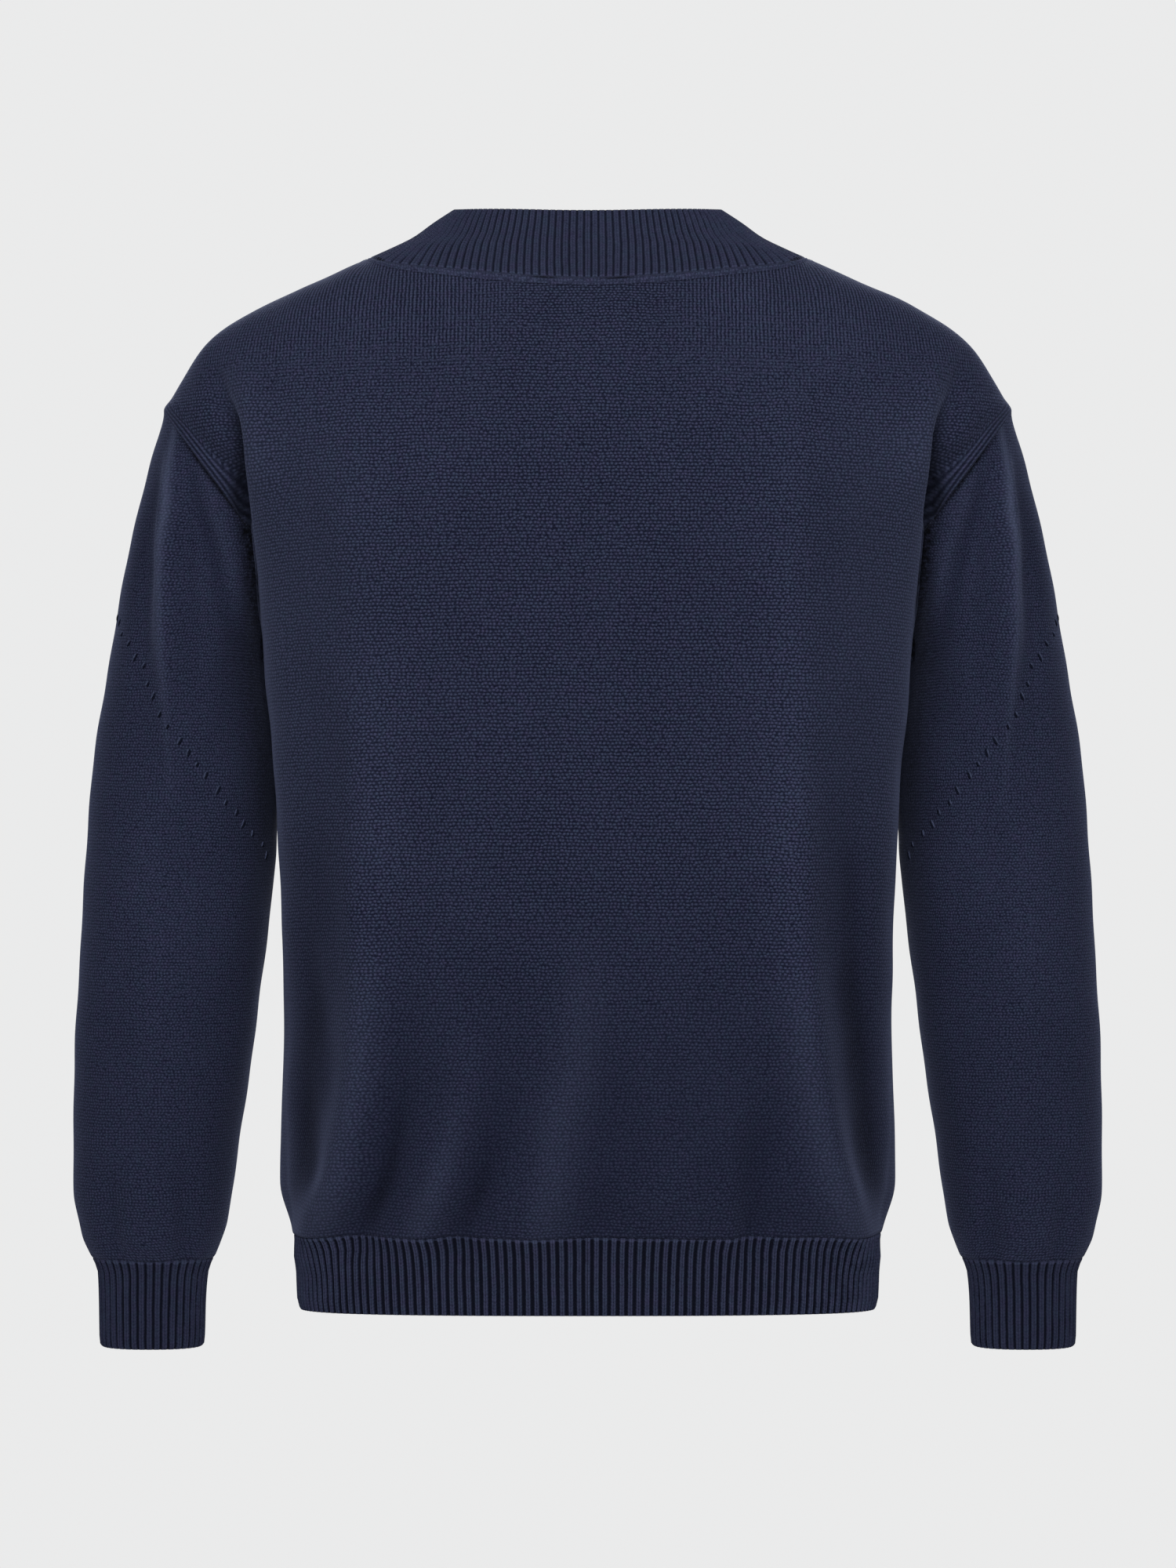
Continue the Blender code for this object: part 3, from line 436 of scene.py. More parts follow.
bodyFolds = [
    # the long ridge down the left, the fall outside it and the hollow inside it
    backFold((-650, -616, -577, -507, -430, -283, -167, -50),
        (-180, -172, -155, -143, -140.8, -145.4, -148.5, -155), (0, 7, 10.5, 10, 7, 3.6, 2.8, 0), (14, 15)),
    backFold((-640, -616, -577, -507, -430, -330), (-194, -192, -185, -179, -178, -181),
        (0, -4.6, -9, -8.4, -5.2, 0), (14, 20)),
    backFold((-640, -618, -585, -530, -450), (-147, -142, -129, -119, -114), (0, -6.6, -8.8, -5.6, 0),
        (13, 13)),
    # lesser pulls up from the hem
    backFold((-645, -616, -580, -546, -475), (-108, -102, -92, -82, -70), (0, 4, 6, 4.8, 0), (12, 12)),
    backFold((-645, -620, -592, -545, -480), (-86, -80, -69, -56, -47), (0, -6.2, -7.4, -4.2, 0), (12, 12)),
    backFold((-645, -608, -560, -510, -430), (-40, -31, -21, -12, -4), (0, 4.6, 5.2, 4, 0), (14, 17)),
    backFold((-640, -612, -560, -480), (0, 4, 12, 20), (0, -3.6, -3, 0), (13, 16)),
    backFold((-640, -600, -540, -460), (50, 50, 48, 46), (0, 1.8, 1.4, 0), (16, 16)),
    backFold((-640, -622, -602, -575), (91, 89, 87, 84), (0, 3, 2.4, 0), (5, 5)),
    backFold((-640, -615, -580, -520), (104, 103, 104, 108), (0, -5, -5.2, 0), (9, 16)),
    # the long ridge down the right and the fall outside it
    backFold((-650, -616, -569, -507, -430, -368, -267, -128, -60),
        (176, 167, 151, 139.5, 133, 130, 130, 128, 134), (0, 7, 10.5, 10, 8, 6.4, 4.4, 2.8, 0), (15, 14)),
    backFold((-640, -610, -577, -507, -400, -300), (192, 190, 184, 176, 168, 166),
        (0, -5.4, -9.6, -9.2, -5.6, 0), (20, 14)),
    # under the arms the body folds forward and hides the foot of the armhole
    *onBothSides(backFold((-212, -190, -167, -146.5, -126, -106, -86, -62),
        (212, 216, 217.2, 219.2, 220.6, 224.6, 232, 240), (0, -9, -14, -14, -12, -8, -4, 0), (3.2, 10.5))),
    *onBothSides(backFold((-420, -340, -262, -190, -136, -85, -60), (188, 192, 198.5, 205, 210, 218, 224),
        (0, 2.6, 3.6, 3.6, 4.4, 2.6, 0), (12, 6))),
    # the front, much the same
    frontFold((-650, -612, -560, -480, -380, -280), (-170, -160, -144, -134, -130, -128),
        (0, 4.6, 6.8, 6, 3, 0), (13, 15)),
    frontFold((-640, -605, -560, -480, -380), (-187, -182, -174, -165, -162), (0, -5, -8, -6, 0), (12, 14)),
    frontFold((-640, -616, -575, -520, -450), (-112, -106, -97, -90, -85), (0, -3.6, -4.6, -2.6, 0), (11, 12)),
    frontFold((-640, -612, -570, -500), (-78, -72, -64, -58), (0, 2.8, 2.6, 0), (10, 12)),
    frontFold((-650, -612, -560, -480, -380, -250), (174, 165, 149, 139, 134, 132), (0, 4.6, 7, 6.4, 3.4, 0),
        (15, 13)),
    frontFold((-640, -605, -560, -480, -360), (188, 183, 176, 168, 164), (0, -5, -8, -6.6, 0), (14, 12)),
    frontFold((-640, -610, -560, -490), (102, 94, 82, 74), (0, 3.4, 3.2, 0), (12, 13)),
    frontFold((-640, -612, -570, -510), (70, 64, 55, 50), (0, -3.4, -3.4, 0), (11, 12)),
    *onBothSides(frontFold((-212, -190, -167, -136, -101, -66), (212, 216, 218, 222, 228, 238),
        (0, -6, -9, -7.6, -3, 0), (4, 9.5))),
]

sleeveFolds = [
    # the sharp ridge below the shoulder's tip, with the fall outside it
    backFold((-370, -321, -283, -244, -190, -159, -128, -104),
        (265, 267.5, 269.8, 271.2, 269.9, 267.8, 265.4, 263.2), (0, 1.4, 3.4, 6, 7.4, 7, 4.4, 0), (9, 4.4)),
    backFold((-330, -244, -190, -150, -112), (285, 284, 282, 279, 273.5), (0, -2.6, -3.8, -3.2, 0), (7, 7)),
    backFold((-300, -244, -200, -160, -125), (248, 252, 255, 257, 259), (0, -2.6, -3.4, -2.6, 0), (7, 8)),
    # the slanting hollow inside it, with a soft crest beside the body
    backFold((-270, -230, -197, -157, -120), (220, 229, 236.5, 248, 255), (0, -1.8, -2.6, -2.4, 0), (5.5, 5.5)),
    backFold((-270, -230, -197, -157, -130), (213, 219, 227, 239, 245), (0, 1.2, 2, 2, 0), (5, 5)),
    backFold((-560, -480, -400, -340), (275, 279, 280, 279), (0, 2, 2.2, 0), (16, 14)),
    # small tucks where the sleeve is drawn into the cuff
    backFold((-650, -636, -615, -580), (303, 305, 307, 309), (0, -3.6, -3, 0), (6, 8)),
    backFold((-650, -636, -612, -570), (262, 261, 260, 258), (0, -3.4, -3, 0), (8, 6)),
    backFold((-650, -634, -612, -570), (283, 284, 285, 285), (0, 1.8, 2.4, 0), (10, 10)),
    # the front of the sleeves
    frontFold((-360, -283, -230, -180, -110), (264, 270, 272, 272, 264), (0, 2.6, 4.6, 4.4, 0), (10, 6)),
    frontFold((-320, -250, -200, -140), (248, 252, 255, 259), (0, -2.6, -3.6, 0), (8, 8)),
    frontFold((-520, -440, -400, -340), (290, 274, 260, 240), (0, -3.2, -4, 0), (11, 10)),
    frontFold((-500, -420, -370, -320), (296, 280, 264, 248), (0, 2.4, 3, 0), (10, 10)),
    frontFold((-650, -636, -612, -575), (298, 300, 302, 304), (0, -3.6, -3.4, 0), (7, 7)),
    frontFold((-650, -636, -612, -575), (268, 267, 266, 265), (0, -3, -3, 0), (7, 7)),
]


# Painted highlights and painted shade, where the cloth looks lighter or darker than the form alone gives.
bodyShine = [
    *onBothSides(backTint((-400, -350, -262, -190, -136, -90, -70), (195, 197.5, 203.5, 210, 214.5, 226, 233),
        (0, 0.06, 0.08, 0.08, 0.11, 0.08, 0), (10, 6))),
    # painted light keeps the sides' tone where they turn from the lamps
    *onBothSides(backTint((-420, -340, -220, -140, -80), (165, 175, 185, 192, 200), (0, 0.05, 0.08, 0.07, 0),
        (50, 40))),
    # painted highlights on the crests of the folds above the hem
    backTint((-635, -606, -566, -490, -420), (-175, -166, -157, -143, -143), (0, 0.12, 0.1, 0.08, 0), (10, 12)),
    backTint((-635, -606, -566, -520), (-110, -103, -86, -80), (0, 0.08, 0.05, 0), (9, 11)),
    backTint((-635, -606, -566, -490, -420), (-32, -24, -20, -4, 0), (0, 0.06, 0.06, 0.05, 0), (14, 15)),
    backTint((-635, -606, -566, -490, -440), (170, 161, 146, 132, 131), (0, 0.1, 0.08, 0.06, 0), (12, 11)),
]
# painted highlight along the sleeve's ridge, and faintly on its soft crest
sleeveShine = [
    backTint((-370, -300, -244, -190, -159, -128, -108), (266, 269, 271.8, 270, 266, 265.8, 264),
        (0, 0.08, 0.2, 0.36, 0.4, 0.4, 0.28), (2.5, 2.1)),
    backTint((-270, -230, -197, -157, -130), (213, 219, 227, 239, 245), (0, 0.02, 0.03, 0.04, 0), (5, 5)),
]
# painted shade in the sleeve's fall and hollow
sleeveShade = [
    backTint((-245, -217, -197, -177, -157, -136, -112), (298, 293, 288.5, 283.2, 279, 275, 271.5),
        (0, -0.45, -0.75, -0.9, -1.1, -1.1, 0), (4.5, 5)),
    backTint((-270, -230, -197, -157, -120), (220, 229, 236.5, 248, 255), (0, -0.7, -1, -0.9, 0), (4.5, 4.5)),
]
# a painted shade line where the body meets the sleeve
bodyShade = onBothSides(backTint((-262, -237, -217, -197, -177, -160), (205.8, 206.6, 207.8, 209.8, 211.9, 214),
    (0, 0.5, 0.85, 0.85, 0.75, 0), (1.8, 4)))


def foldRise(folds, face, x, z):
    rise = np.zeros_like(x)
    for made in folds:
        if made["face"] != face:
            continue
        away = x - smoothCurve(made["z"], made["x"], z)
        width = np.where(away < 0, *made["width"])
        rise += smoothCurve(made["z"], made["rise"], z) * bell(away, width)
    return rise


def bodyFoldRise(points, face):
    x, y, z = np.moveaxis(points, -1, 0)
    return foldRise(bodyFolds, face, x, z) * easeStep(np.abs(y) / 0.030)


def sleeveSide(points):
    # from the back of the sleeve (-1) to its front (1)
    _, middleY, _, depth = sleeveMiddle(points[..., 2])
    return (points[..., 1] - middleY) / depth


def sleeveFoldRise(points):
    x, z, side = np.abs(points[..., 0]), points[..., 2], sleeveSide(points) / 0.35
    return sum(foldRise(sleeveFolds, face, x, z) * easeStep(face * side) for face in (-1, 1))


def unevenness(points, size=0.0006):
    # the slight waviness of soft cloth
    x, y, z = np.moveaxis(points, -1, 0)
    waves = np.sin(71 * x + 23 * z + 1.3) * np.sin(47 * z - 19 * x + 0.4 + 30 * y)
    waves += 0.7 * np.sin(113 * x - 37 * z + 2.1) * np.sin(83 * z + 11 * x + 1.9)
    return size * (waves + 0.4 * np.sin(167 * x + 59 * z + 0.7 - 60 * y))


# cloth
wall = {"panel": 0.0025, "rib": 0.0030}
stitch = {"wale": 0.00250, "course": 0.00218}


def gridNormals(points, closed=False):
    wide = np.concatenate([points[:, -2:-1], points, points[:, 1:2]], axis=1) if closed else points
    across = np.gradient(wide, axis=1)[:, 1:-1] if closed else np.gradient(points, axis=1)
    return unit(np.cross(across, np.gradient(points, axis=0)))


def softened(values, passes, closed=False):
    # evens values out with their neighbours', inside the edges
    for _ in range(passes):
        soft = values.copy()
        weight = np.ones(values.shape[:2] + (1,) * (values.ndim - 2))
        soft[1:-1] += (values[:-2] + values[2:]) / 2
        weight[1:-1] += 1
        soft[:, 1:-1] += (values[:, :-2] + values[:, 2:]) / 2
        weight[:, 1:-1] += 1
        if closed:
            soft[:, 0] = soft[:, -1] = values[:, 0] + (values[:, 1] + values[:, -2]) / 2
            weight[:, 0] = weight[:, -1] = 2
        values = soft / weight
    return values


def newShape(name, add, **sizes):
    # a piece of its own, made by one of Blender's own shapes
    bpy.ops.object.select_all(action="DESELECT")
    add(**sizes)
    made = bpy.context.object
    made.name = made.data.name = name
    return made


def clothShell(name, outer, inner, maps, marks, seamColumn=None, closed=False):
    # a grid through the outer points, whose second side, from Solidify, takes the inner points
    rows, columns = outer.shape[:2]
    piece = newShape(name, bpy.ops.mesh.primitive_grid_add, x_subdivisions=columns - 1,
                     y_subdivisions=rows - 1, size=1)
    mesh = piece.data
    mesh.vertices.foreach_set("co", outer.reshape(-1, 3).astype(np.float32).ravel())
    place = mesh.attributes.new("place", "INT", "POINT")
    place.data.foreach_set("value", np.arange(rows * columns, dtype=np.int32))
    for mark, values in marks.items():
        layer = mesh.attributes.new(mark, "FLOAT", "POINT")
        layer.data.foreach_set("value", np.broadcast_to(values, (rows, columns)).astype(np.float32).ravel())

    corners = np.zeros(len(mesh.loops), np.int32)
    mesh.loops.foreach_get("vertex_index", corners)
    mesh.uv_layers.remove(mesh.uv_layers[0])
    for title, values in maps.items():
        uv = values.reshape(-1, values.shape[-1])[corners]
        if seamColumn is not None:  # past the seam the columns count from its other side
            faceColumn = np.repeat(np.arange(len(mesh.polygons)) % (columns - 1), 4)
            uv[:, 0] -= np.where(faceColumn >= seamColumn, uv[:, 2], 0)
        mesh.uv_layers.new(name=title)
        mesh.uv_layers[title].data.foreach_set("uv", uv[:, :2].astype(np.float32).ravel())

    if closed:
        bpy.ops.object.mode_set(mode="EDIT")
        bpy.ops.mesh.select_all(action="SELECT")
        bpy.ops.mesh.remove_doubles(threshold=0.000002)
        bpy.ops.object.mode_set(mode="OBJECT")
    thick = piece.modifiers.new("wall", "SOLIDIFY")
    thick.thickness = 0.002
    thick.offset = -1
    bpy.ops.object.modifier_apply(modifier="wall")

    mesh = piece.data
    order = np.zeros(len(mesh.vertices), np.int32)
    mesh.attributes["place"].data.foreach_get("value", order)
    half = len(order) // 2
    points = np.concatenate([outer.reshape(-1, 3)[order[:half]], inner.reshape(-1, 3)[order[half:]]])
    mesh.vertices.foreach_set("co", points.astype(np.float32).ravel())
    mesh.attributes.remove(mesh.attributes["place"])
    bpy.ops.object.shade_smooth_by_angle(angle=math.radians(70))
    mesh.update()
    return piece


def levelDistance(points):
    # how far round the torso each point lies from the middle, along a level line
    heights = np.linspace(seams["hemBottom"] - 0.01, 0.034, 180)
    angles = np.radians(np.linspace(0, 90, 91))
    away = np.where(points[..., 1] < 0, 1, -1)
    angle = np.arctan2(np.abs(points[..., 0]), np.abs(points[..., 1]))
    row = np.clip((points[..., 2] - heights[0]) / (heights[1] - heights[0]), 0, len(heights) - 1.001)
    column = np.clip(angle / (angles[1] - angles[0]), 0, len(angles) - 1.001)
    low, left = row.astype(int), column.astype(int)
    up, along = row - low, column - left
    distance = np.zeros(points.shape[:-1])
    for face in (1, -1):
        turned = angles[None, :] if face > 0 else math.pi - angles[None, :]
        arc = arcAlong(torsoPoint(turned + 0 * heights[:, None], heights[:, None] + 0 * angles), 1)
        lower = arc[low, left] * (1 - along) + arc[low, left + 1] * along
        upper = arc[low + 1, left] * (1 - along) + arc[low + 1, left + 1] * along
        distance = np.where(away == face, lower * (1 - up) + upper * up, distance)
    return distance


def climb(height):
    # distance up the middle of the back to a height
    heights = np.linspace(-0.70, 0.034, 400)
    arc = arcAlong(torsoPoint(0 * heights, heights), 0)
    return np.interp(height, heights, arc)


def facingOut(outer, inner):
    # whether the faces of the grid look away from the body
    across = outer[1:-1, 2:] - outer[1:-1, :-2]
    along = outer[2:, 1:-1] - outer[:-2, 1:-1]
    return np.sum(np.cross(across, along) * (outer - inner)[1:-1, 1:-1]) >= 0


def settle(piece, node=None):
    # the piece's part in the frame
    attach(piece, "root")
    if node:
        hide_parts(node)


def clothPiece(name, part, thick, finish, node, closed=False):
    normals, lift = part["normals"], part["folds"] + part["relief"]
    outer = part["points"] + normals * lift[..., None]
    inner = part["points"] + normals * (part["folds"] - thick + part.get("innerRelief", 0.0))[..., None]
    maps = {title: part[title] for title in ("stitches", "links") if title in part}
    # painted shade in the creases, darker still in deep folds, and painted light and shade along the folds in
    # depth
    hollow = easeStep((-part["folds"] - 0.0040) / 0.0070)
    marks = {"creaseShade": np.maximum(np.clip(part["creaseShade"], 0, 1), 0.62 * hollow),
             "depth": np.clip(part["folds"] / 0.008, -1, 1) + part.get("tone", 0.0)}
    for mark in ("wales", "band", "beside", "shine", "soft"):
        if mark in part:
            marks[mark] = np.broadcast_to(part[mark], outer.shape[:2])
    seamColumn = part.get("seamColumn")
    if not facingOut(outer, inner):
        outer, inner = outer[:, ::-1], inner[:, ::-1]
        maps = {title: values[:, ::-1] for title, values in maps.items()}
        marks = {mark: values[:, ::-1] for mark, values in marks.items()}
        if seamColumn is not None:  # the columns now count the other way
            seamColumn = outer.shape[1] - 1 - seamColumn
            maps = {title: values.copy() for title, values in maps.items()}
            for values in maps.values():
                values[..., 0] = values[..., 2] - values[..., 0]
    piece = clothShell(name, outer, inner, maps, marks, seamColumn, closed)
    piece.data.materials.append(finish)
    settle(piece, node)
    return piece


def mirrored(half):
    # the same half on the other side
    other = {name: values[:, ::-1] for name, values in half.items()}
    for name in ("points", "normals"):
        other[name] = other[name] * otherSide
    for name in ("stitches", "links"):
        if name in other:
            other[name] = other[name] * np.array([-1.0, 1.0])
    return other


def joinHalves(left, right):
    return {name: np.concatenate([left[name][:, :-1], right[name]], axis=1) for name in right}


def edgeDip(distance, depth, reach):
    # a cloth edge turns in where it is sewn to the next piece
    return -depth * np.clip(1 - distance / reach, 0, 1) ** 2


def roundedEdge(distance, radius):
    # a free edge, rounded over
    share = np.clip(1 - distance / radius, 0, 1)
    return -radius * (1 - np.sqrt(np.clip(1 - share**2, 0, 1)))


# a painted shade line, strongest at the seam or edge and fading with distance
def paintedShadeLine(distance, depth, reach):
    return depth * bell(distance, reach)


freeEdge = 0.0014  # radius of a free edge


def ribShares(line, shares, size, ribs=None):
    # shares at even steps along a line, with a whole number of ribs
    arc = arcAlong(line, 0)
    ribs = ribs or round(arc[-1] / size["pitch"])
    return np.interp(np.linspace(0, 1, ribs * size["columns"] + 1), arc / arc[-1], shares)


def ribPart(points, normals, phase, fromSeam, fromEdge, size, fromBottom=None, **more):
    # one rib to a whole phase: a ridge of two legs with a furrow between, then a valley
    away = np.abs((phase % 1) - 0.5) * 2
    valley = easeStep((away - size["ridge"] + 0.16) / 0.24) + 0.20 * bell(away, 0.13)
    lip, lipReach = size["lip"]
    grown = easeStep(fromSeam / size["grow"]) * easeStep((fromEdge - lip) / lipReach)
    free = roundedEdge(fromEdge, freeEdge)
    if fromBottom is not None:
        grown = grown * easeStep(fromBottom / 0.0020)
        free = free + roundedEdge(fromBottom, freeEdge)
    relief = -size["depth"] * valley * (size["least"] + (1 - size["least"]) * grown)
    # painted shade along the seam
    return dict(points=points, normals=normals, relief=relief + edgeDip(fromSeam, *size["dip"]) + free,
                creaseShade=paintedShadeLine(fromSeam, *size["dark"]), innerRelief=-free,
                stitches=np.stack([phase, fromSeam / stitch["course"]], axis=-1), **more)


# materials
class Wire:
    # a socket's value, so that shader maths reads as sums
    def __init__(self, finish, socket):
        self.finish, self.socket = finish, socket

    def math(self, operation, *others):
        return self.finish.math(operation, self, *others)

    def __add__(self, other):
        return self.math("ADD", other)

    def __radd__(self, other):
        return self.finish.math("ADD", other, self)

    def __sub__(self, other):
        return self.math("SUBTRACT", other)

    def __rsub__(self, other):
        return self.finish.math("SUBTRACT", other, self)

    def __mul__(self, other):
        return self.math("MULTIPLY", other)

    def __rmul__(self, other):
        return self.finish.math("MULTIPLY", other, self)


class Finish:
    def __init__(self, name, roughness, **constants):
        self.material = bpy.data.materials.new(name)
        self.material.use_nodes = True
        self.tree = self.material.node_tree
        self.surface = self.tree.nodes["Principled BSDF"]
        self.surface.inputs["Roughness"].default_value = roughness
        for socket, value in constants.items():
            self.surface.inputs[socket.replace("_", " ")].default_value = value

    def node(self, kind, settings=None, inputs=None, output=0):
        made = self.tree.nodes.new(kind)
        for name, value in (settings or {}).items():
            setattr(made, name, value)
        for socket, value in (inputs or {}).items():
            if isinstance(value, Wire):
                self.tree.links.new(value.socket, made.inputs[socket])
            else:
                made.inputs[socket].default_value = value
        return Wire(self, made.outputs[output])

    def math(self, operation, *values):
        return self.node("ShaderNodeMath", {"operation": operation}, dict(enumerate(values)))

    def split(self, vector):
        return [self.node("ShaderNodeSeparateXYZ", None, {0: vector}, axis) for axis in range(3)]

    def join(self, x, y, z=0.0):
        return self.node("ShaderNodeCombineXYZ", None, {0: x, 1: y, 2: z})

    def place(self):
        return self.node("ShaderNodeTexCoord", None, None, "Object")

    def map(self, name):
        return self.node("ShaderNodeUVMap", {"uv_map": name})

    def mark(self, name):
        return self.node("ShaderNodeAttribute", {"attribute_name": name}, None, "Fac")

    def noise(self, vector, scale, detail=2.0, roughness=0.5):
        # centred on nothing
        sizes = {"Vector": vector, "Scale": scale, "Detail": detail, "Roughness": roughness}
        return self.node("ShaderNodeTexNoise", None, sizes, "Fac") - 0.5

    def chance(self, across, along):
        # a value of its own for each stitch, centred on nothing
        cell = self.join(across.math("FLOOR"), along.math("FLOOR"))
        return self.node("ShaderNodeTexWhiteNoise", {"noise_dimensions": "2D"}, {"Vector": cell}, "Value") - 0.5

    def dots(self, across, along, looseness):
        # rounded stitches, one to each step across and along, out of line by the looseness
        sizes = {"Vector": self.join(across, along), "Scale": 1.0, "Randomness": looseness}
        kind = {"voronoi_dimensions": "2D", "feature": "F1"}
        return self.smooth(self.node("ShaderNodeTexVoronoi", kind, sizes, "Distance"), 0.52, 0.02)

    def blend(self, share, first, second):
        return self.node("ShaderNodeMix", {"data_type": "RGBA"}, {0: share, 6: first, 7: second}, 2)

    def between(self, share, first, second):
        return first + (second - first) * share

    def smooth(self, value, low, high):
        ends = {"Value": value, "From Min": low, "From Max": high}
        return self.node("ShaderNodeMapRange", {"interpolation_type": "SMOOTHSTEP"}, ends)

    def paint(self, colour, height=None, distance=0.0005, strength=0.6):
        self.tree.links.new(colour.socket, self.surface.inputs["Base Color"])
        if height is not None:
            sizes = {"Height": height, "Distance": distance, "Strength": strength}
            bump = self.node("ShaderNodeBump", None, sizes)
            self.tree.links.new(bump.socket, self.surface.inputs["Normal"])
        return self.material


def colour(red, green, blue):
    return (red, green, blue, 1.0)


# shadow is the colour of painted shade and the brightest colour that of painted highlights; hollow scales
# painted light on the ridges and painted shade in the troughs
yarn = {
    "deep": colour(0.0042, 0.0052, 0.0140), "light": colour(0.0395, 0.0540, 0.0955),
    "violet": colour(0.0465, 0.0465, 0.0970), "paintedHighlight": colour(0.0800, 0.0960, 0.1600),
    "shadow": colour(0.0009, 0.0010, 0.0018), "hollow": 0.24,
    "sheen": 0.13, "ribSheen": 0.05, "sheenRoughness": 0.44, "sheenTint": colour(0.48, 0.56, 0.95),
}


knitLook = {
    "sway": 0.60, "jitter": 0.55, "looseness": 0.28, "dots": 0.84, "columns": 0.86, "loops": 0.98,
    "hair": 1.25, "streaks": 0.26, "patches": 0.16, "least": 0.06, "bump": (0.0005, 0.55),
}
# valley sets the painted shade in the rib valleys, faint and deep
ribLook = {"loops": 0.16, "hair": 1.3, "jitter": 0.40, "patches": 0.12, "top": 0.26, "valley": (0.80, 0.55)}


def clothFinish(name, sheen):
    return Finish(name, 1.0, Sheen_Weight=sheen, Sheen_Roughness=yarn["sheenRoughness"],
                  Sheen_Tint=yarn["sheenTint"], Specular_IOR_Level=0.06)


def knitFinish():
    finish = clothFinish("navyKnit", yarn["sheen"])
    place = finish.place()
    wale, course, _ = finish.split(finish.map("stitches"))
    link, linkRow, _ = finish.split(finish.map("links"))
    marks = ("creaseShade", "wales", "depth", "band", "beside", "soft")
    creaseShade, wales, depth, band, beside, soft = (finish.mark(name) for name in marks)
    sway, jitter = finish.noise(place, 34.0, 1.0), finish.noise(place, 350.0, 1.0)
    across = wale + sway * knitLook["sway"] + jitter * knitLook["jitter"]
    along = course + finish.noise(place, 27.0, 1.0) * 0.8
    along = along + finish.noise(place, 310.0, 1.0) * (soft * 1.6 + 0.60)
    # every other row of stitches sits half a step to one side
    rowHere = along + 0.36
    stagger = (rowHere * 0.5).math("FRACT").math("GREATER_THAN", 0.5) * 0.5
    stagger = stagger + finish.chance(along * 0.0, rowHere) * 0.36
    column, row = (across * math.tau).math("COSINE"), (along * math.tau).math("COSINE")
    column = finish.between(band, column, ((beside + jitter * 0.20) * -math.tau).math("COSINE") * -0.68)
    columns = finish.smooth(column * 0.66 + row * 0.14 + column * row * 0.24, -0.60, 0.78)
    columns = columns * knitLook["columns"]
    inColumns = finish.smooth(wales + jitter * 1.2, -0.05, 1.0)
    dots = finish.dots(across + stagger, along, knitLook["looseness"]) * knitLook["dots"] + row * 0.08 + 0.06
    loops = finish.between(inColumns, dots, columns)
    # the linking stitches beside the neck seam
    linked = finish.smooth(linkRow, 2.95, 2.75) * finish.smooth(linkRow, 0.10, 0.35)
    linkDots = finish.dots(link * 1.2 + jitter, linkRow * 0.8 + jitter, 0.4) * 0.6 + 0.36
    loops = finish.between(linked, loops, linkDots)
    loops = finish.between(soft, loops, 0.5)
    hair = finish.noise(place, 1250.0, 3.0, 0.75)
    patches = finish.noise(place, 16.0, 3.0, 0.6)
    # stitches that run together along a row
    streaks = finish.noise(finish.join(across * 0.45, along), 1.0, 2.0, 0.7)
    shade = loops * knitLook["loops"] + knitLook["least"] + hair * knitLook["hair"]
    shade = shade + streaks * knitLook["streaks"] + patches * knitLook["patches"]
    # painted light on the ridges and painted shade in the troughs, from depth
    shade = (shade + linked * (jitter * 0.6 - 0.03)) * (1 + depth * yarn["hollow"])
    light = finish.blend(finish.noise(place, 210.0, 1.0) * 1.6 + 0.5, yarn["light"], yarn["violet"])
    # painted highlights where the shine mark is set
    base = finish.blend(finish.mark("shine"), finish.blend(shade, yarn["deep"], light), yarn["paintedHighlight"])
    # painted shade in the creases, towards the shadow colour
    creaseShade = creaseShade * (0.985 + jitter * 1.2)
    return finish.paint(finish.blend(creaseShade, base, yarn["shadow"]), loops + hair * 0.4, *knitLook["bump"])


def ribFinish(name, ridge, furrow, tone, gap=1.0):
    finish = clothFinish(name, yarn["ribSheen"])
    place = finish.place()
    creaseShade, depth = finish.mark("creaseShade"), finish.mark("depth")
    rib, course, _ = finish.split(finish.map("stitches"))
    jitter = finish.noise(place, 330.0, 2.0)
    away = (rib.math("FRACT") - 0.5) * 2 + jitter * 0.14 + finish.noise(place, 60.0, 1.0) * 0.26
    away = away.math("ABSOLUTE")
    leg = finish.smooth((away - ridge * 0.50).math("ABSOLUTE"), ridge * 0.52 + 0.02, 0.06)
    valley = finish.smooth(away, ridge - 0.08, ridge + 0.12) * finish.smooth(course + jitter * 1.4, 0.35, 1.05)
    slant = (course * math.tau + (rib.math("FRACT") - 0.5).math("ABSOLUTE") * 7.0 + jitter * 2.5).math("COSINE")
    loops = finish.smooth(slant, -1.1, 1.0)
    hair = finish.noise(place, 1250.0, 3.0, 0.75)
    shade = 0.57 - furrow + leg * furrow + loops * ribLook["loops"] + hair * ribLook["hair"]
    shade = shade + jitter * ribLook["jitter"]
    top = finish.smooth(course + jitter * 1.2, 1.35, 0.60) * finish.smooth(away, 0.95, 0.50)
    shade = shade * tone + finish.noise(place, 18.0, 3.0) * ribLook["patches"] + top * ribLook["top"]
    # painted light on the ridges and painted shade in the troughs, from depth
    shade = shade * (1 + depth * yarn["hollow"])
    light = finish.blend(finish.noise(place, 150.0, 1.0) * 1.6 + 0.5, yarn["light"], yarn["violet"])
    # painted shade in the rib valleys and the creases, towards the shadow colour
    faint, dark = ribLook["valley"]
    base = finish.blend(shade * (1 - valley * (faint * gap)), yarn["deep"], light)
    dark = (valley * (dark * gap)).math("MAXIMUM", creaseShade * 0.985)
    return finish.paint(finish.blend(dark, base, yarn["shadow"]), leg * 0.6 + loops * 0.3 + hair * 0.3)


knit = knitFinish()
hemFinish, fineFinish = ribFinish("navyRib", 0.60, 0.42, 0.87), ribFinish("navyFineRib", 0.76, 0.24, 0.94, 0.72)
cuffFinish = ribFinish("navyCuffRib", 0.72, 0.30, 0.63)
print("finishes made")


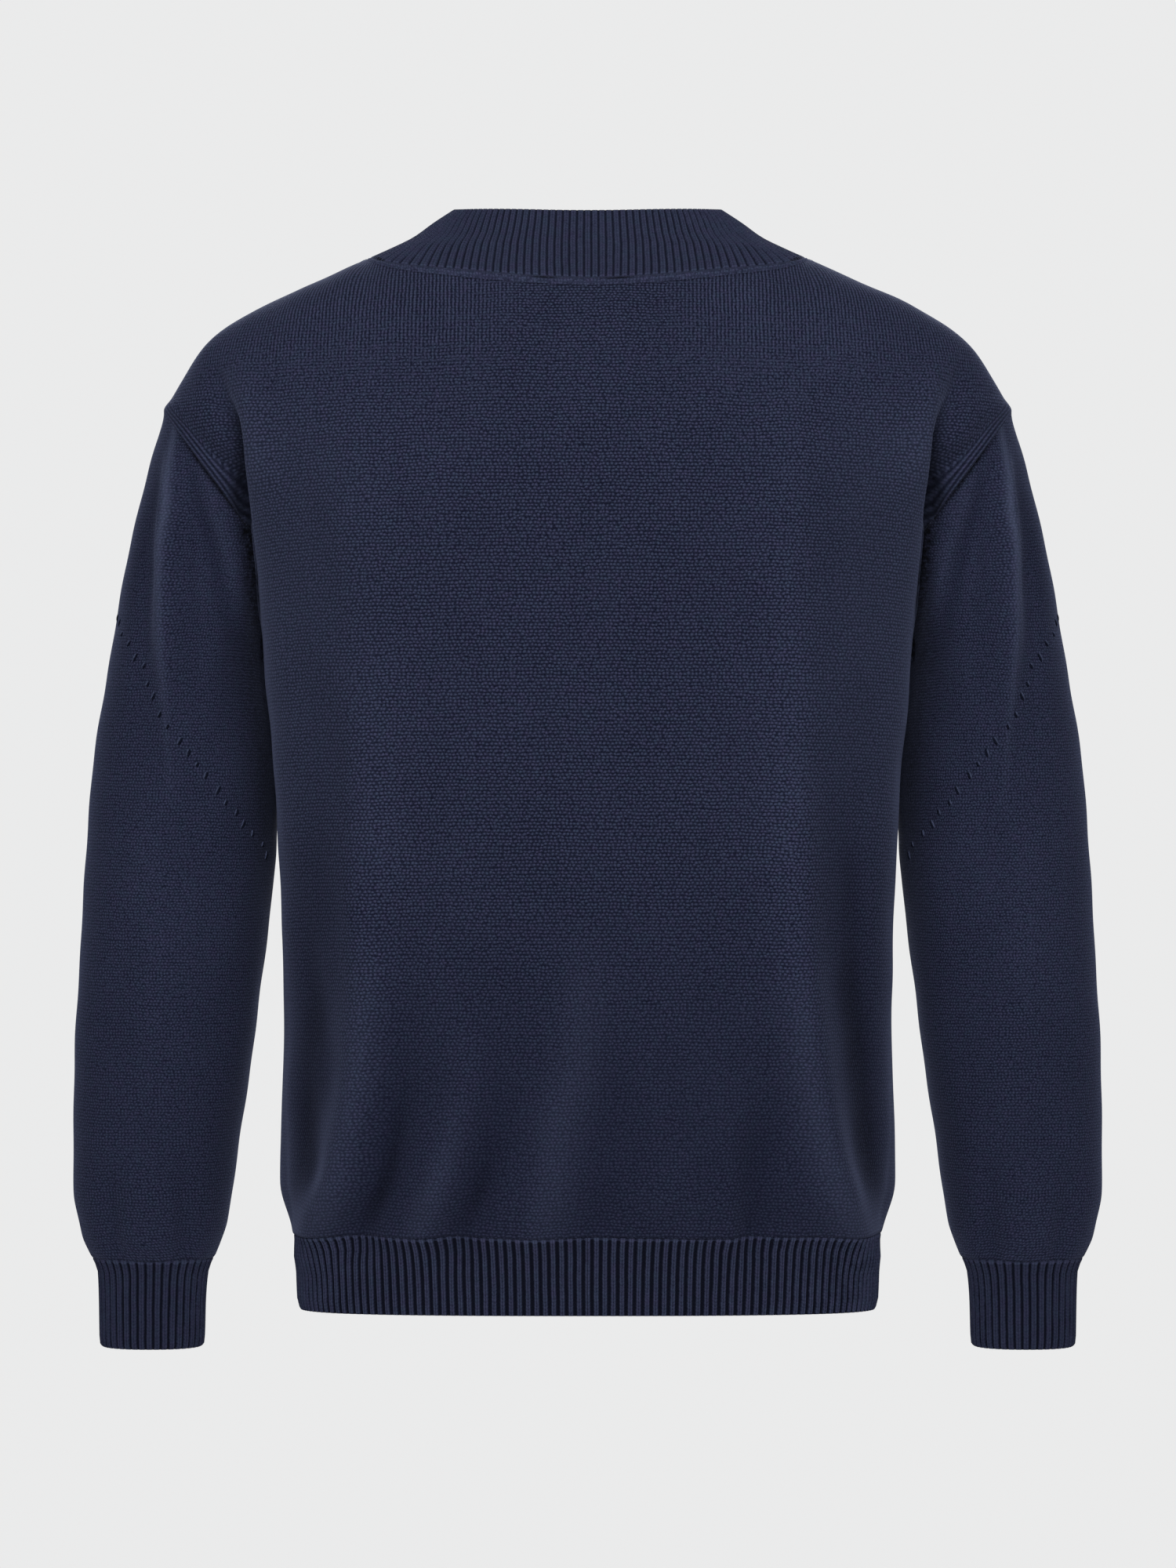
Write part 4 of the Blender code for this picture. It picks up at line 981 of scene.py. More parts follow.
# body panels
panel = {
    "middle": 0.0042, "side": 0.0027, "rows": 0.0034, "upper": 0.25,
    "hemFine": (0.0006, 0.0013, 0.0022, 0.0034),
    "topFine": (0.0005, 0.0010, 0.0016, 0.0024, 0.0036, 0.0048, 0.0058, 0.0064, 0.0070, 0.0078),
    # the fashioned band beside the armhole
    "band": 0.0100, "bandRise": 0.0013, "bandPitch": 0.0029, "bandGroove": 0.0006,
    # edges that turn in and the painted shade lines along them, by depth and reach
    "hemDip": (0.0006, 0.0024), "armDip": (0.0012, 0.0020), "frontDip": (0.0014, 0.0020),
    "neckDip": (0.0012, 0.0010), "hemDark": (0.50, 0.0008), "armDark": (0.20, 0.65, 0.0009),
    "frontDark": (0.8, 0.0011), "neckDark": (0.90, 0.0009), "bandDark": 0.24,
    # the linking stitches below the neck band
    "linkRise": 0.0008, "linkWidth": 0.0064, "linkRow": 0.0022, "linkEnd": 0.0066, "linkDark": (0.45, 0.0006),
    # painted shade in two short gaps under the neck band: place, half length and, in common, distance and reach
    "gaps": ((-0.027, 0.0075), (0.019, 0.0088)), "gapLine": (0.0014, 0.0011),
    # painted light and shade by distance from the middle and by height
    "sides": (0.095, 0.125, 0.150, 0.172, 0.190), "paintedSideTones": (0.0, 0.55, -0.80, -1.0, -0.30),
    "heights": (-0.49, -0.39, -0.29, -0.16, -0.09), "heightShares": (0.0, 1.0, 0.70, 0.50, 0.0),
    "paintedTopLight": 0.25, "paintedFootShade": -1.75, "soft": 0.18,
}
noLink = 9.0  # a row far from the linking stitches
panel["armholeFine"] = tuple(np.arange(0.0006, 0.0112, 0.00095)) + tuple(np.arange(0.0130, 0.0460, 0.0017))


def panelShares():
    neckShare = seams["neckShare"]
    neckPart = spacedShares(neckShare * halfPanelWidth, panel["middle"]) * neckShare
    rest = spacedShares((1 - neckShare) * halfPanelWidth, panel["side"], end=panel["armholeFine"])
    return np.concatenate([neckPart[:-1], neckShare + (1 - neckShare) * rest])


def upperShares():
    length, turn = panel["upper"], seams["turn"]
    below = spacedShares(turn * length, panel["rows"]) * turn
    above = turn + (1 - turn) * spacedShares((1 - turn) * length, panel["rows"], end=panel["topFine"])
    return np.concatenate([below[:-1], above])


bodyShares, armShares = panelShares(), upperShares()
lowerLength = seams["underarm"] - seams["hem"]
lowerHeights = seams["hem"] + lowerLength * spacedShares(lowerLength, panel["rows"], start=panel["hemFine"])


def offTip(height):
    # seams lie flat at the shoulder's tip
    return easeStep((seams["tip"] - 0.004 - height) / 0.030)


def halfBody(face):
    lower = lowerPanel(face, bodyShares, lowerHeights)
    upper = upperPanel(face, bodyShares, armShares)[1:]
    points = np.concatenate([lower, upper])
    edges = points[:, 0].copy(), points[:, -1].copy(), points[0].copy(), points[-1].copy()
    points = softened(points, 3)
    points[:, 0], points[:, -1], points[0], points[-1] = edges
    z = points[..., 2]
    normals = softened(gridNormals(points) * (1 if face < 0 else -1), 4)
    if face < 0:  # the middle line belongs to both halves
        normals[:, 0, 0] = 0
    normals = unit(normals)

    (fromHem, fromTop), (fromMiddle, fromArm) = fromBothEnds(points), fromBothEnds(points, 1)
    upperPart = np.zeros(z.shape)
    upperPart[len(lower):] = easeStep((z[len(lower):] - seams["underarm"] - 0.012) / 0.03)
    wale, course = levelDistance(points) / stitch["wale"], (climb(z) - climb(z[:1])) / stitch["course"]
    beside = fromArm / panel["bandPitch"]
    waleGroove = 0.5 + 0.5 * np.cos(math.tau * beside)

    # raised columns of stitches beside the armhole, then the edge turns in
    band = upperPart * easeStep(fromArm / 0.0016) * easeStep((panel["band"] - fromArm) / 0.0035)
    relief = band * (panel["bandRise"] - panel["bandGroove"] * waleGroove) * offTip(z)
    relief += edgeDip(fromHem, *panel["hemDip"])
    relief += edgeDip(fromArm, *panel["armDip"]) * (0.5 + 0.5 * upperPart) * offTip(z)
    # painted shade along the hem, the band's grooves, the armhole, the front edge and the neck
    below, above, reach = panel["armDark"]
    creaseShade = paintedShadeLine(fromHem, *panel["hemDark"])
    creaseShade += panel["bandDark"] * band * waleGroove * (0.5 + 0.5 * easeStep((z + 0.185) / 0.060))
    creaseShade += paintedShadeLine(fromArm, below + above * upperPart, reach) * offTip(z)
    if face < 0:
        onNeck = easeStep((seams["neckShare"] + 0.03 - bodyShares[None, :]) / 0.03) + 0 * z
        fromNeck, link = fromTop, fromMiddle
    else:
        onNeck = easeStep((z - seams["vee"] + 0.010) / 0.010)
        fromNeck, link = fromMiddle, fromHem
        relief += edgeDip(fromNeck, *panel["frontDip"]) * (1 - onNeck)
        creaseShade += paintedShadeLine(fromNeck, *panel["frontDark"]) * (1 - onNeck)
    linked = onNeck * easeStep(fromNeck / 0.0008) * easeStep((panel["linkWidth"] - fromNeck) / 0.0016)
    relief += panel["linkRise"] * linked + onNeck * edgeDip(fromNeck, *panel["neckDip"])
    creaseShade += onNeck * paintedShadeLine(fromNeck, *panel["neckDark"])
    creaseShade += onNeck * paintedShadeLine(fromNeck - panel["linkEnd"], *panel["linkDark"])
    linkRow = np.where(onNeck > 0.02, fromNeck / panel["linkRow"] + 4 * (1 - onNeck), noLink)

    corner = easeStep((z + 0.135) / 0.125) * easeStep((np.abs(points[..., 0]) - 0.010) / 0.085)
    wales = np.maximum(0.80 * corner, upperPart * easeStep((panel["band"] + 0.001 - fromArm) / 0.0012))
    calm = np.minimum(1, np.minimum(fromArm, fromTop) / 0.02)
    return dict(points=points, normals=normals, relief=relief, creaseShade=creaseShade, calm=calm,
                stitches=np.stack([wale, course], axis=-1), beside=beside,
                links=np.stack([link / stitch["wale"], linkRow], axis=-1),
                fromNeck=fromNeck + 9 * (onNeck < 0.5), wales=np.clip(wales, 0, 1),
                band=upperPart * easeStep((panel["band"] - fromArm) / 0.0012))


def bodyPanels():
    for face in (-1, 1):
        right = halfBody(face)
        left = mirrored(right)
        made = [("frontKnitLeft", left, "front_left", (0.265, 0.62), 0.137),
                ("frontKnitRight", right, "front_right", (0.265, 0.62), 0.137)]
        if face < 0:
            made = [("backKnit", joinHalves(left, right), "back", (0.57, 0.62), 0.335)]
        for name, part, node, flat, area in made:
            x, y, z = np.moveaxis(part["points"], -1, 0)
            part["folds"] = bodyFoldRise(part["points"], face) + unevenness(part["points"]) * part["calm"]
            # painted highlights from the shine table
            part["shine"] = foldRise(bodyShine, face, x, z) * easeStep(np.abs(y) / 0.012)
            part["soft"] = panel["soft"] * easeStep((-0.38 - z) / 0.20)
            # painted light above and painted shade below, with a painted light crest and painted shade where
            # the cloth turns to the side
            tone = panel["paintedTopLight"] * easeStep((z + 0.20) / 0.08)
            tone = tone + panel["paintedFootShade"] * easeStep((-0.34 - z) / 0.23)
            turning = np.interp(np.abs(x), panel["sides"], panel["paintedSideTones"])
            part["tone"] = tone + turning * np.interp(z, panel["heights"], panel["heightShares"])
            # a painted shade line where the body meets the sleeve
            part["creaseShade"] = part["creaseShade"] + foldRise(bodyShade, face, x, z) * easeStep(-y / 0.030)
            if face < 0:
                # painted shade in two short gaps under the neck band
                gaps = np.max([bell(x - place, half, 4) for place, half in panel["gaps"]], axis=0)
                below, reach = panel["gapLine"]
                part["creaseShade"] = part["creaseShade"] + gaps * bell(part["fromNeck"] - below, reach)
            piece = clothPiece(name, part, wall["panel"], knit, node)


bodyPanels()
print("body panels made")


# ribbed hem
hem = {
    "pitch": 0.00540, "columns": 10, "depth": 0.0015, "ridge": 0.60, "rows": 0.0055, "least": 0.12,
    "grow": 0.0034, "lip": (0.0004, 0.0020), "dip": (0.0006, 0.0016), "dark": (0.25, 0.0005),
}
ribRows = {"start": (0.0004, 0.0009, 0.0016, 0.0026), "end": (0.0006, 0.0013, 0.0022, 0.0036)}


def hemRib(face):
    fine = np.linspace(0, 1, 200)
    u = ribShares(lowerPanel(face, fine, np.array([(seams["hem"] + seams["hemBottom"]) / 2]))[0], fine, hem)
    length = seams["hem"] - seams["hemBottom"]
    heights = seams["hemBottom"] + length * spacedShares(length, hem["rows"], **ribRows)
    points = lowerPanel(face, u, heights)
    normals = unit(gridNormals(points) * (1 if face < 0 else -1))
    if face < 0:
        normals[:, 0, 0] = 0
    fromBottom, fromTop = fromBothEnds(points)
    phase = np.arange(len(u))[None, :] / hem["columns"] + 0.5 + 0 * fromTop
    return ribPart(points, unit(normals), phase, fromTop, fromBottom, hem)


def hemPieces():
    back, front = hemRib(-1), hemRib(1)
    made = (
        ("hemRibBack", joinHalves(mirrored(back), back), "hem_rib_back", (0.50, 0.049), -1, "backKnit"),
        ("hemRibFrontLeft", mirrored(front), "hem_rib_front_left", (0.235, 0.049), 1, "frontKnitLeft"),
        ("hemRibFrontRight", front, "hem_rib_front_right", (0.235, 0.049), 1, "frontKnitRight"),
    )
    for name, part, node, flat, face, above in made:
        part["folds"] = bodyFoldRise(part["points"], face)
        piece = clothPiece(name, part, wall["rib"], hemFinish, node)


hemPieces()
print("hem made")


# sleeves and cuffs
arm = {
    "seamLength": 0.24, "length": 0.545, "around": 0.0036, "rows": 0.0036,
    "seamFine": (0.0006, 0.0014, 0.0024), "cuffFine": (0.0007, 0.0016, 0.0028),
    "seamDip": (0.0022, 0.0036), "cuffDip": (0.0006, 0.0030),
    # painted shade along the seams, against the body and towards the cuff
    "seamDark": (0.92, 0.0024), "cuffDark": (0.28, 0.0008),
    "against": 0.98, "fineness": 1.10, "tone": -0.30, "paintedFootShade": -0.65, "soft": 0.14,
}
cuff = {
    "ribs": 40, "columns": 10, "depth": 0.0013, "ridge": 0.72, "rows": 0.0050, "middle": -0.690,
    "least": 0.12, "grow": 0.0036, "lip": (0.0004, 0.0020), "dip": (0.0006, 0.0016), "dark": (0.25, 0.0005),
}


def sleeveRing(angle, height):
    middleX, middleY, halfWidth, depth = sleeveMiddle(height)
    core = np.stack([middleX, middleY, height], axis=-1)
    way = np.stack([halfWidth * np.cos(angle), -depth * np.sin(angle), np.zeros_like(height)], axis=-1)
    alone, merged = (outToForm(field, core, core + way) for field in (sleeveField, wornField))
    return np.where((height > seams["knee"])[..., None], merged, alone)


def ringNormals(points):
    normals = gridNormals(points, closed=True)
    out = np.sum(normals[-1] * (points[-1] - points[-1].mean(axis=0)))
    return normals if out > 0 else -normals


def sleevePart():
    shares = spacedShares(arm["seamLength"], arm["around"])
    back, front = armhole(shares[::-1], -1), armhole(shares[1:], 1)
    seam = np.concatenate([back, front])
    middleX, middleY, halfWidth, depth = sleeveMiddle(seam[:, 2])
    start = np.unwrap(np.arctan2(-(seam[:, 1] - middleY) / depth, (seam[:, 0] - middleX) / halfWidth))
    end = start[0] + np.linspace(0, math.tau, len(start))
    share = spacedShares(arm["length"], arm["rows"], arm["seamFine"], arm["cuffFine"])[:, None]
    bent = share - 0.05 * np.sin(math.tau * share) * easeStep(share / 0.05) * easeStep((1 - share) / 0.05)
    height = seam[:, 2] + (seams["cuff"] - seam[:, 2]) * bent
    turned = 1 - (1 - np.minimum(share / 0.6, 1)) ** 2
    angle = start + (end - start) * turned
    points = sleeveRing(angle, height)
    foot = points[-1].copy()
    points[0] = seam
    points = softened(points, 3, closed=True)
    points[0], points[-1] = seam, foot
    normals = unit(softened(ringNormals(points), 4, closed=True))
    fromSeam, fromCuff = fromBothEnds(points)
    z = points[..., 2]
    calm = easeStep((seam[:, 2] - z) / 0.030)
    folds = sleeveFoldRise(points) * calm + unevenness(points) * np.clip(fromSeam / 0.03, 0, 1)
    relief = edgeDip(fromSeam, *arm["seamDip"]) * offTip(z) + edgeDip(fromCuff, *arm["cuffDip"])
    # painted shade along the armhole seam and the cuff
    creaseShade = paintedShadeLine(fromSeam, *arm["seamDark"]) * offTip(z) + paintedShadeLine(fromCuff, *arm["cuffDark"])
    # painted shade on the sleeve where it lies against the body
    low = easeStep((-0.190 - z) / 0.080)
    gap = np.maximum(torsoField(points), 0) * torso.at("halfWidth", z) / torso.at("back", z)
    against = bell(gap, 0.0120 + 0.0030 * low, 3.0 - 1.5 * low) * easeStep((-0.145 - z) / 0.030)
    creaseShade = np.maximum(creaseShade, arm["against"] * against)
    onBack = easeStep((0.15 - sleeveSide(points)) / 0.35)
    # painted highlights and painted shade on the back of the sleeve
    shine, shade = (foldRise(tints, -1, points[..., 0], z) * onBack for tints in (sleeveShine, sleeveShade))
    # painted shade, darker towards the cuff
    tone = shade + arm["tone"] + arm["paintedFootShade"] * easeStep((-0.40 - z) / 0.16)
    around = arcAlong(points, 1)
    perimeter = np.broadcast_to(around[:, -1:], around.shape)
    stitches = np.stack([around, fromCuff / stitch["course"] * stitch["wale"], perimeter], axis=-1)
    stitches = stitches * arm["fineness"] / stitch["wale"]
    links = np.stack([0 * around, noLink + 0 * around, 0 * around], axis=-1)
    seamColumn = len(shares) - 1
    inside = bell((np.arange(len(start)) - seamColumn) * arm["around"], 0.020)
    wales = 0.15 + 0.45 * inside * easeStep((z + 0.42) / 0.12)
    return dict(points=points, normals=normals, folds=folds, relief=relief, creaseShade=creaseShade,
                stitches=stitches, links=links, wales=wales, band=0.0, beside=0.0, shine=shine,
                soft=arm["soft"], tone=tone, seamColumn=seamColumn), angle[-1, 0]


def cuffPart(first):
    fine = np.linspace(0, math.tau, 721) + first
    even = ribShares(sleeveRing(fine, np.full(fine.shape, cuff["middle"])), fine, cuff, cuff["ribs"])
    length = seams["cuff"] - seams["cuffBottom"]
    heights = seams["cuff"] - length * spacedShares(length, cuff["rows"], ribRows["end"], ribRows["start"])
    heights = np.broadcast_to(heights[:, None], (len(heights), len(even)))
    points = sleeveRing(even + 0 * heights, heights)
    fromTop, fromBottom = fromBothEnds(points)
    phase = np.arange(len(even))[None, :] / cuff["columns"] + 0 * fromTop
    return ribPart(points, ringNormals(points), phase, fromTop, fromBottom, cuff, folds=0 * fromTop)


def onOtherSide(tube):
    return {**tube, "points": tube["points"] * otherSide, "normals": tube["normals"] * otherSide}


def threadFinish(name, deep, light, roughness=0.9, **constants):
    finish = Finish(name, roughness, **constants)
    flecks = finish.noise(finish.place(), 900.0, 3.0, 0.7)
    return finish.paint(finish.blend(flecks * 1.6 + 0.5, deep, light), flecks, 0.0003, 0.4)


fashioning = {
    "count": 21, "length": 0.0030, "lean": 0.38,
    "loop": (0.00065, 0.0008), "slit": (0.0008, 0.0007), "apart": 0.0013,
    "heights": (-0.2298, -0.2596, -0.2813, -0.3050, -0.3232, -0.3368, -0.3540, -0.3687, -0.3838),
    "degrees": (17, 59, 72, 85, 98.6, 108.5, 122, 137.6, 156),
}
# the loops' lighter yarn is a painted highlight; gapShade is painted shadow
highlitLoopYarn = threadFinish("highlitLoopYarn", yarn["deep"], colour(0.072, 0.088, 0.155), Specular_IOR_Level=0.06)
gapShade = threadFinish("gapShade", yarn["shadow"], colour(0.0090, 0.0110, 0.0240), Specular_IOR_Level=0.02)


def grain(name, radii, finish):
    # one small rounded stitch, long axis up
    made = newShape(name, bpy.ops.mesh.primitive_uv_sphere_add, segments=12, ring_count=8, radius=1)
    made.data.transform(Matrix.Diagonal((*radii, 1.0)))
    bpy.ops.object.shade_smooth()
    made.data.materials.append(finish)
    return made


def placed(template, place, across, up, out):
    # a copy with a mesh of its own, its x, z and y turned to across, up and out
    made = template.copy()
    made.data = template.data.copy()
    turn = Matrix([across, out, up]).transposed().to_4x4()
    made.data.transform(Matrix.Translation(Vector(place)) @ turn)
    if turn.determinant() < 0:
        made.data.flip_normals()
    bpy.context.scene.collection.objects.link(made)
    return made


def joined(name, parts, templates):
    bpy.ops.object.select_all(action="DESELECT")
    for made in parts:
        made.select_set(True)
    bpy.context.view_layer.objects.active = parts[0]
    bpy.ops.object.join()
    piece = bpy.context.object
    piece.name = piece.data.name = name
    for template in templates:
        bpy.data.objects.remove(template)
    settle(piece)


def fashioningMarks(name, tube, side):
    heights, turns = np.array(fashioning["heights"]), np.radians(fashioning["degrees"])
    share = np.linspace(0, 1, fashioning["count"])
    loop = grain("loopStitch", (*fashioning["loop"], fashioning["length"]), highlitLoopYarn)
    # a dark piece of painted shadow in each slit, beside a loop
    slit = grain("slitShadow", (*fashioning["slit"], fashioning["length"]), gapShade)
    surface = tube["points"] + tube["normals"] * (tube["folds"] + tube["relief"])[..., None]
    parts = []
    for face in (1, -1):
        line = sleeveRing(face * turns, heights) * np.array([side, 1.0, 1.0])
        for index, target in enumerate(alongLine(line, share)):
            away = np.linalg.norm(surface[2:-2] - target, axis=-1)
            row, column = np.unravel_index(np.argmin(away), away.shape)
            row += 2
            place, out = surface[row, column], tube["normals"][row, column]
            up = unit(surface[row - 1, column] - surface[row + 1, column])
            across = unit(np.cross(up, out)) * face
            lean = fashioning["lean"] * (1 + 0.3 * math.sin(2.7 * index)) * (-side)
            up = unit(up + across * lean)
            across = unit(np.cross(up, out)) * face
            length = 0.8 + 0.25 * math.sin(1.9 * index + 0.6)
            parts.append(placed(slit, place, across, up * length, out))
            beside = place + across * side * fashioning["apart"]
            parts.append(placed(loop, beside, across, up * length, out))
    joined(name, parts, (loop, slit))


def sleevePieces():
    sleeveTube, first = sleevePart()
    right = sleeveTube, cuffPart(first)
    for side, tubes in (("Right", right), ("Left", [onOtherSide(tube) for tube in right])):
        piece = clothPiece(f"sleeveKnit{side}", tubes[0], wall["panel"], knit,
                           f"sleeve_{side.lower()}", closed=True)
        "frontKnit" + side
        piece = clothPiece(f"cuffRib{side}", tubes[1], wall["rib"], cuffFinish,
                           f"cuff_{side.lower()}", closed=True)
        "sleeveKnit" + side
        fashioningMarks("fashioning" + side, tubes[0], 1 if side == "Right" else -1)


sleevePieces()
print("sleeves and cuffs made")


# neck band and front bands
neckBand = {
    "pitch": 0.0047, "columns": 10, "depth": 0.0012, "ridge": 0.76, "width": 0.058, "rows": 0.0048,
    "middle": 0.45, "least": 0.25, "grow": 0.0030, "lip": (0.0002, 0.0016), "dip": (0.0012, 0.0016),
    "dark": (0.75, 0.0007),
}


def layerRise(across, height, upper):
    # the upper band rises towards its free edge and the lower one sinks
    lap = easeStep((-0.060 - height) / 0.070)
    return (1 if upper else -1) * seams["layer"] * across * lap


def neckHalf():
    # the ribs are even along the middle of the band
    fine = np.linspace(0, 1, 900)
    around = ribShares(neckPoint(fine, neckBand["middle"] + 0 * fine), fine, neckBand)
    across = spacedShares(neckBand["width"], neckBand["rows"], ribRows["end"], ribRows["start"])
    around, across = np.meshgrid(around, across)
    points = neckPoint(around, across)
    fromSeam, fromEdge = fromBothEnds(points)
    phase = np.arange(points.shape[1])[None, :] / neckBand["columns"] + 0.5 + 0 * fromSeam
    return ribPart(points, outwardOf(torsoField, points), phase, fromSeam, fromEdge, neckBand, across=across)


def neckPiece():
    right = neckHalf()
    left = mirrored(right)
    for half, upper in ((right, False), (left, True)):
        half["folds"] = layerRise(half["across"], half["points"][..., 2], upper)
    part = joinHalves(left, right)
    piece = clothPiece("neckRib", part, wall["rib"], fineFinish, "neck_band")


frontBand = {
    "pitch": 0.0048, "rows": 10, "depth": 0.0011, "ridge": 0.76, "across": 0.0044, "least": 0.25,
    "start": (0.0006, 0.0014, 0.0026), "end": (0.0005, 0.0012, 0.0022),
    "grow": 0.0030, "lip": (0.0, 0.0016), "dip": (0.0014, 0.0020), "dark": (0.9, 0.0008),
}


def bandPoints(height, across):
    x = seams["bandHalfWidth"] * (1 - 2 * across)
    core = np.stack([x, 0 * x, height], axis=-1)
    return outToForm(torsoField, core, core + np.array([0.0, 0.1, 0.0]))


def frontBandPiece(name, node, side, upper):
    low, length = seams["hemBottom"], seams["vee"] - seams["hemBottom"]
    ribs = round(length / frontBand["pitch"])
    share = np.linspace(0, 1, ribs * frontBand["rows"] + 1)
    height = low + length * share
    width = 2 * seams["bandHalfWidth"]
    across = spacedShares(width, frontBand["across"], frontBand["start"], frontBand["end"])
    across, height = np.meshgrid(across, height)
    lean = easeStep((share - 0.93) / 0.07)[:, None]
    height = height + across * (neck.at("edgeHeight", 1.0) - seams["vee"]) * lean
    points = bandPoints(height, across)
    fromSeam, fromEdge = fromBothEnds(points, 1)
    phase = share[:, None] * ribs + 0 * fromSeam
    part = ribPart(points, outwardOf(torsoField, points), phase, fromSeam, fromEdge, frontBand,
                   fromBottom=arcAlong(points, 0), folds=layerRise(across, height, upper))
    if side < 0:
        part = onOtherSide(part)
    piece = clothPiece(name, part, wall["rib"], fineFinish, node)


neckPiece()
frontBandPiece("buttonholeBandRib", "buttonhole_band", -1, True)
frontBandPiece("buttonBandRib", "button_band", 1, False)
print("neck band and front bands made")


# buttons and buttonholes
button = {
    "first": -0.212, "step": 0.109, "count": 5, "radius": 0.0100, "thick": 0.0034, "clearance": 0.0007,
    "rim": 0.0017, "slope": 0.0007, "dish": 0.0008, "edge": 0.0006, "hole": 0.0012, "spacing": 0.0022,
    "thread": (0.0030, 0.00042, 0.00050), "strands": 0.00045,
    "holeLength": 0.0120, "holeHeight": 0.0022, "holeThread": 0.0007, "holeShift": -0.0055,
}
buttonShell = threadFinish("navyButton", colour(0.0050, 0.0060, 0.0130), colour(0.0150, 0.0180, 0.0340), 0.32,
                           Coat_Weight=0.25, Coat_Roughness=0.20)
sewingThread = threadFinish("sewingThread", yarn["deep"], yarn["light"])


def selectFaces(made, wanted):
    bpy.ops.object.mode_set(mode="EDIT")
    bpy.ops.mesh.select_mode(type="FACE")
    bpy.ops.mesh.select_all(action="DESELECT")
    bpy.ops.object.mode_set(mode="OBJECT")
    for face in made.data.polygons:
        face.select = wanted(face)
    bpy.ops.object.mode_set(mode="EDIT")


def applied(made, name, kind, **settings):
    modifier = made.modifiers.new(name, kind)
    for title, value in settings.items():
        setattr(modifier, title, value)
    bpy.context.view_layer.objects.active = made
    bpy.ops.object.modifier_apply(modifier=name)


def buttonBody():
    made = newShape("buttonBody", bpy.ops.mesh.primitive_cylinder_add, vertices=64,
                    radius=button["radius"], depth=button["thick"])
    selectFaces(made, lambda face: face.normal.z > 0.9)
    bpy.ops.mesh.inset(thickness=button["rim"], depth=0)
    bpy.ops.mesh.inset(thickness=button["slope"], depth=-button["dish"])
    bpy.ops.object.mode_set(mode="OBJECT")
    applied(made, "rounding", "BEVEL", width=button["edge"], segments=4, limit_method="ANGLE",
            angle_limit=math.radians(25))
    far = button["spacing"]
    for place in ((-far, -far, 0), (-far, far, 0), (far, -far, 0), (far, far, 0)):
        cutter = newShape("cutter", bpy.ops.mesh.primitive_cylinder_add, vertices=20,
                          radius=button["hole"], depth=0.02, location=place)
        bpy.ops.object.select_all(action="DESELECT")
        applied(made, "hole", "BOOLEAN", operation="DIFFERENCE", solver="EXACT", object=cutter)
        bpy.data.objects.remove(cutter)
    made.select_set(True)
    bpy.context.view_layer.objects.active = made
    bpy.ops.object.shade_smooth_by_angle(angle=math.radians(35))
    made.data.materials.append(buttonShell)
    return made


def buttonPieces():
    body = buttonBody()
    strand, ring = grain("strand", button["thread"], sewingThread), buttonholeRing()
    # a dark piece of painted shadow in each buttonhole
    gap = grain("holeShadow", (button["holeLength"] - 0.001, 0.0004, 0.0012), gapShade)
    stitches, holes = [], []
    layer, width = seams["layer"], 2 * seams["bandHalfWidth"]
    for index in range(button["count"]):
        height = np.array(button["first"] - button["step"] * index)
        cloth = torsoPoint(np.array(math.pi), height)
        normal = unit(outwardOf(torsoField, cloth) + np.array([-layer / width, 0.0, 0.0]))
        place = cloth + normal * (layer / 2 + button["clearance"] + button["thick"] / 2)
        turn = Vector(normal).to_track_quat("Z", "Y").to_matrix()
        right, up, out = (np.array(turn.col[axis]) for axis in range(3))
        made = placed(body, place, right, out, up)
        made.name = made.data.name = f"sewnButton{index + 1}"
        settle(made, f"button_{index + 1}")
        top = place + normal * (button["thick"] / 2 - button["dish"] + 0.0001)
        for row in (-1, 1):
            for side in (-1, 1):
                offset = up * (row * button["spacing"] + side * button["strands"])
                stitches.append(placed(strand, top + offset, right, up, normal))
        across = 0.5 - button["holeShift"] / width
        middle = bandPoints(height, np.array(across)) + normal * (layer * across - 0.0002)
        holes += [placed(template, middle, right, up, normal) for template in (ring, gap)]
    joined("buttonThread", stitches, (strand,))
    joined("buttonholeStitches", holes, (ring, gap))
    bpy.data.objects.remove(body)


def buttonholeRing():
    thick = 0.2
    made = newShape("holeRing", bpy.ops.mesh.primitive_torus_add, major_segments=48, minor_segments=8,
                    major_radius=1.0, minor_radius=thick, rotation=(math.radians(90), 0, 0))
    bpy.ops.object.transform_apply(location=False, rotation=True, scale=False)
    radii = (button["holeLength"], button["holeThread"] / thick, button["holeHeight"])
    made.data.transform(Matrix.Diagonal((*radii, 1.0)))
    bpy.ops.object.shade_smooth()
    made.data.materials.append(sewingThread)
    return made


buttonPieces()
print("buttons made")


